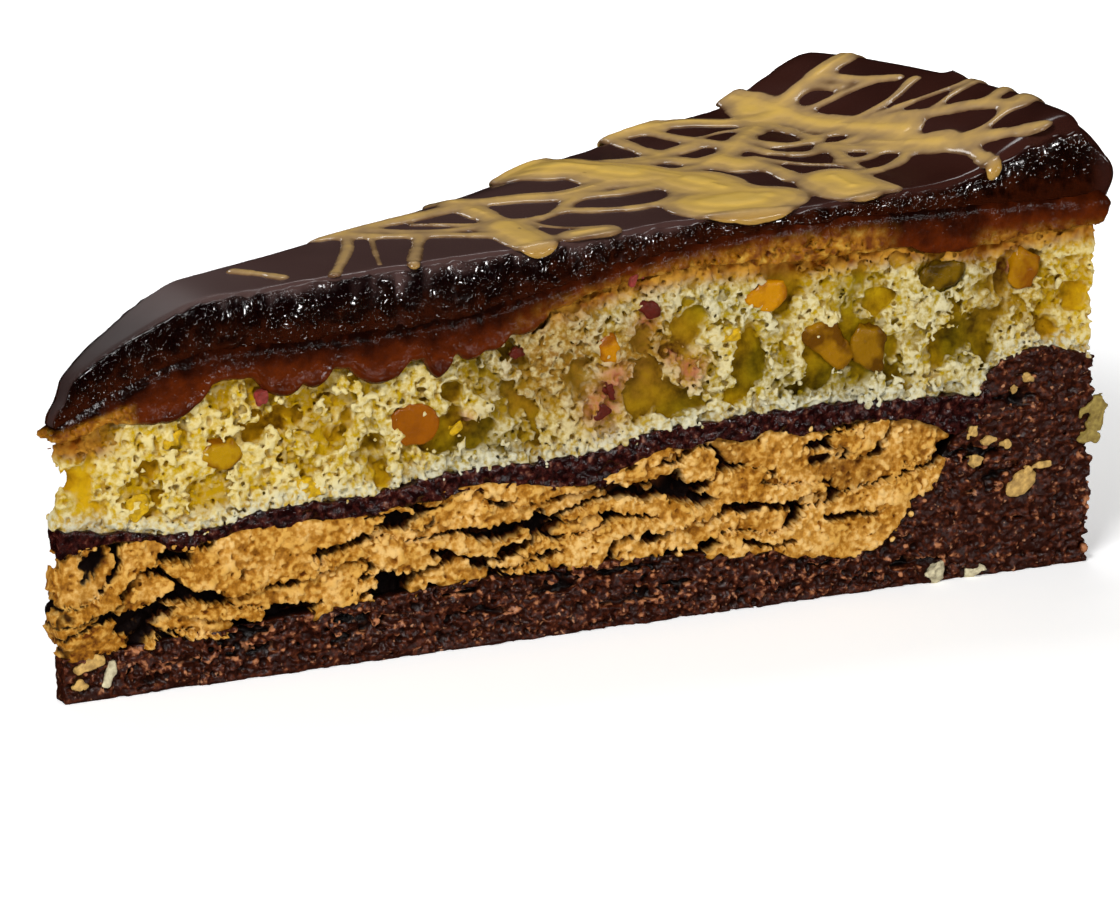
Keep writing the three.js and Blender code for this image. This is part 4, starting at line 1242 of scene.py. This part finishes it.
def face_lump(along, up, size, turn, side, proud, rough, seed):
    """A lump set into a cut face and cut off nearly flush with it: its surface, and how far each point is
    from its middle to its edge."""
    length, depth, width = size
    half = 0.62 * max(size)
    block = Block((-half, -half, -half), (half, half, half), 0.07 * (length + width) / 2)
    lengthwise = block.x * math.cos(turn) + block.z * math.sin(turn)
    crosswise = block.z * math.cos(turn) - block.x * math.sin(turn)
    shape = np.sqrt((lengthwise / length) ** 2 + (block.y / depth) ** 2 + (crosswise / width) ** 2)
    lumpy = rough * noise(block.x / (0.4 * length), block.y / (0.4 * length), block.z / (0.4 * length), seed)
    lumpy = lumpy + 0.3 * rough * noise(block.x / 0.7, block.y / 0.7, block.z / 0.7, seed + 1)
    rng = np.random.default_rng(seed)
    for way in rng.normal(size=(CHOPS, 3)):
        way = way / np.linalg.norm(way)
        chop = lengthwise / length * way[0] + block.y / depth * way[1] + crosswise / width * way[2]
        shape = np.maximum(shape, chop + 0.5 - rng.uniform(*CHOP_AT))
    outward = -side * block.y - (depth / 2 - LUMP_SET + proud)
    uneven = 0.12 * noise(block.x / 1.6, block.y / 1.6, block.z / 1.6, seed + 2)
    block.field = np.maximum((shape - 0.5 + lumpy) * width, outward + uneven).astype(np.float32)
    points, quads, triangles = block.surface(0.0)
    x, y = on_face(along, side, depth / 2 - LUMP_SET + side * points[:, 1])
    run, rise = points[:, 0], points[:, 2]
    placed = np.stack([x + run * FACE_RUN[0], y + side * run * FACE_RUN[1], rise + up], 1)
    reach = 2 * np.hypot((run * math.cos(turn) + rise * math.sin(turn)) / length,
                         (rise * math.cos(turn) - run * math.sin(turn)) / width)
    return (placed, quads[:, ::-1], triangles[:, ::-1]), reach


def make_nuts():
    surfaces, greens, reaches = [], [], []
    for number, (along, up, length, width, turn, side, green) in enumerate(nut_places()):
        surface, reach = face_lump(along, up, (length, NUT_DEPTH, width), turn, side, NUT_PROUD,
                                   NUT_ROUGH, FIRST_NUT_SEED + 2 * number)
        surfaces.append(surface)
        greens.append(np.full(len(reach), green))
        reaches.append(reach)
    piece, _ = gather("pistachio_pieces", surfaces)
    tell(piece, green=np.concatenate(greens), reach=np.concatenate(reaches))
    return piece


def nut_look():
    look = Look("pistachio_nut", {"Specular IOR Level": 0.15, "Roughness": 0.2})
    inner = look.ramp(look.told("green"), (0.0, (178, 118, 2)), (0.1, (134, 72, 2)),
                      (0.3, (160, 120, 4)), (0.7, (138, 94, 4)), (1.0, (104, 76, 3)))
    dark = look.ramp(look.told("green"), (0.0, (126, 66, 3)), (1.0, (54, 36, 2)))
    by_edge = look.fit(look.told("reach"), 0.4, 1.0, 0.0, 0.3)
    spread = look.maths("ADD", by_edge, look.fit(look.noise(2.6), 0.35, 0.65))
    look.paint(look.blend(look.fit(spread, 0.45, 1.0, 0.0, 0.9), inner, dark))
    look.bump(look.noise(0.7, 3.0), 0.25, 0.7)
    return look


# Small bits in the near face and crumbs, by tone: distance from the tip, height, length, width, turn in the
# face, and how proud of it

BITS = [("yellow", [(29.4, 22.1, 3.4, 2.4, 10, -0.2), (9.2, 22, 2.8, 2.2, 60, -0.2),
                    (81.2, 33.8, 3.4, 2, 15, -0.2), (13.5, 29.4, 2, 1.4, 40, -0.2),
                    (47.1, 26.6, 1.8, 1.4, 30, 0)]),
        ("red", [(71.1, 38.5, 2.6, 2.2, 0, 0), (54.8, 34.9, 1.4, 1.2, 0, 0.3), (65.2, 26.4, 2, 1.4, 35, -0.2),
                 (66.4, 29, 1.2, 1.9, 10, -0.2)]),
        ("pink", [(69.2, 42.6, 2, 1.6, 20, 0.5), (24, 33.4, 1.6, 1.2, 50, 0.5)]),
        ("tan", [(120.7, 11.4, 4.4, 2, 30, 0.5), (122.6, 13.2, 3, 1.4, 10, 0.4),
                 (115.6, 17.4, 1.8, 1.1, 25, 0.4), (114.2, 15, 1.5, 1.2, 70, 0.4),
                 (118.4, 16.6, 1.4, 0.9, 0, 0.4), (113.6, 18.6, 1.4, 1, 40, 0.4),
                 (121, 24.6, 1.2, 0.9, 0, 0.4), (119, 23.4, 0.9, 0.8, 0, 0.4)]),
        ("khaki", [(130.4, 18.6, 3.2, 4.6, 20, 0.4), (129.6, 16.2, 2.2, 1.8, 0, 0.4)]),
        ("pale", [(109, 1.4, 2.6, 2.4, 60, 0.9), (115, 0.7, 2.6, 1.3, 5, 0.9)]),
        ("tan", [(3, 4.4, 3, 2.4, 40, 0.2)]),
        ("pale", [(5, 2.4, 3.4, 1.4, 65, 0.3)]),
        ("tan", [(2, 2.2, 2, 1.6, 0, 0.3)])]
TONES = {"red": (84, 22, 10), "khaki": (150, 130, 66), "pink": (140, 52, 48), "tan": (200, 162, 92),
         "yellow": (200, 158, 4), "pale": (206, 196, 160)}
BIT_DEPTH = 2.6
BIT_ROUGH = 0.34
FIRST_BIT_SEED = 120


def make_bits():
    tones = list(TONES)
    bits = [(tone, *bit) for tone, group in BITS for bit in group]
    surfaces, told = [], []
    for number, (tone, along, up, length, width, turn, proud) in enumerate(bits):
        surface, reach = face_lump(along, up, (length, BIT_DEPTH, width), math.radians(turn), -1, proud,
                                   BIT_ROUGH, FIRST_BIT_SEED + 3 * number)
        surfaces.append(surface)
        told.append(np.full(len(reach), tones.index(tone) / (len(tones) - 1)))
    piece, _ = gather("crumbs_and_bits", surfaces)
    tell(piece, tone=np.concatenate(told))
    thin_out(piece, BITS_MOST)
    return piece


def bits_look():
    look = Look("crumbs", {"Specular IOR Level": 0.15, "Roughness": 0.4})
    stops = [(i / (len(TONES) - 1), tone) for i, tone in enumerate(TONES.values())]
    colour = look.ramp(look.told("tone"), *stops)
    dark = look.fit(look.noise(0.7, 3.0), 0.35, 0.65, 0.5, 0.0)
    look.paint(look.blend(dark, colour, srgb(60, 24, 6)))
    look.bump(look.noise(0.5, 3.0), 0.2, 0.8)
    return look


# Floor, light and camera

FLOOR_SIZE = 3.0
# Lamps, in metres and watts, and the place that they are aimed at
LIT_PLACE = (0, 0, 0.025)
LIGHTS = {
    "key": {"towards": (-0.62, -0.46, 0.64), "distance": 0.7, "size": 0.2, "power": 4.0},
    "back": {"towards": (0.0, 0.8, 0.6), "distance": 0.6, "size": 0.12, "power": 0.3},
    "fill": {"towards": (0.35, -0.85, 0.4), "distance": 0.8, "size": 0.05, "power": 0.6},
    "low": {"towards": (0.15, -0.97, 0.15), "distance": 0.8, "size": 0.05, "power": 0.5},
    "left": {"towards": (-0.3, -0.93, 0.2), "distance": 0.8, "size": 0.05, "power": 0.5},
    "right": {"towards": (0.55, -0.8, 0.2), "distance": 0.8, "size": 0.05, "power": 0.4},
}
# A lamp for the floor behind the slice, which shines straight down
FLOOR_LIGHT = {"place": (0.27, 0.38, 0.6), "size": 0.4, "spread": 75, "power": 1.5}
WORLD_LIGHT = 0.12
FLOOR_GLOW = 0.28


def view_direction():
    azimuth = math.radians(CAMERA_AZIMUTH)
    elevation = math.radians(CAMERA_ELEVATION)
    return Vector((math.sin(azimuth) * math.cos(elevation), -math.cos(azimuth) * math.cos(elevation),
                   math.sin(elevation)))


def aim(thing, target):
    thing.rotation_euler = (target - thing.location).to_track_quat("-Z", "Y").to_euler()


def add_lamp(name, light, place):
    lamp = bpy.data.lights.new(name, "AREA")
    lamp.energy = light["power"]
    lamp.size = light["size"]
    thing = put(name, lamp)
    thing.location = place
    return thing


def make_stage():
    middle = Vector(LIT_PLACE)
    for name, light in LIGHTS.items():
        place = middle + Vector(light["towards"]).normalized() * light["distance"]
        aim(add_lamp(name, light, place), middle)
    lamp = add_lamp("floor light", FLOOR_LIGHT, FLOOR_LIGHT["place"])
    lamp.data.spread = math.radians(FLOOR_LIGHT["spread"])
    world = bpy.data.worlds.new("studio")
    world.use_nodes = True
    background = world.node_tree.nodes["Background"].inputs
    background["Color"].default_value = (1, 1, 1, 1)
    background["Strength"].default_value = WORLD_LIGHT
    bpy.context.scene.world = world
    world.cycles_visibility.glossy = False
    half = FLOOR_SIZE / 2
    mesh = bpy.data.meshes.new("floor")
    corners = [(-half, -half, 0), (half, -half, 0), (half, half, 0), (-half, half, 0)]
    mesh.from_pydata(corners, [], [(0, 1, 2, 3)])
    floor = put("floor", mesh)
    look = Look("floor", {"Roughness": 0.8, "Base Color": (0.92, 0.92, 0.92, 1), "Specular IOR Level": 0.0,
                          "Emission Color": (1, 1, 1, 1), "Emission Strength": FLOOR_GLOW})
    mesh.materials.append(look.material)
    floor.visible_glossy = False


def make_camera():
    camera = bpy.data.cameras.new("camera")
    camera.lens = CAMERA_LENS
    camera.sensor_width = SENSOR_WIDTH
    camera.sensor_fit = "HORIZONTAL"
    camera.clip_start = 0.01
    thing = put("camera", camera)
    target = Vector(((CAMERA_TARGET[0] - FRAME_SHIFT) * MM, CAMERA_TARGET[1] * MM, CAMERA_TARGET[2] * MM))
    thing.location = target + view_direction() * CAMERA_DISTANCE * MM
    aim(thing, target)
    bpy.context.scene.camera = thing
    bpy.context.scene.view_settings.view_transform = "Standard"


make_camera()
make_stage()
dress(make_base(), base_look(), "cocoa_crumb", "cocoa_base")
dress(make_filling(), filling_look(), "flaky_pastry", "kadayif_filling")
dress(make_seam(), seam_look(), "dark_ganache", "dark_ganache")
sponge = sponge_look()
for crumb in make_sponge():
    dress(crumb, sponge, "pistachio_sponge", "pistachio_sponge")
dress(make_milk(), milk_look(), "milk_ganache", "milk_ganache")
dress(make_glaze(), glaze_look(), "dark_glaze", "chocolate_glaze")
dress(make_drizzle(), drizzle_look(), "pistachio_cream", "chocolate_glaze")
nuts = [f"nut_near_{i + 1}" for i in range(len(NEAR_NUTS))]
nuts = nuts + [f"nut_far_{i + 1}" for i in range(FAR_NUT_COUNT)]
dress(make_nuts(), nut_look(), "pistachio_nut", *nuts)
dress(make_bits(), bits_look(), "crumbs")
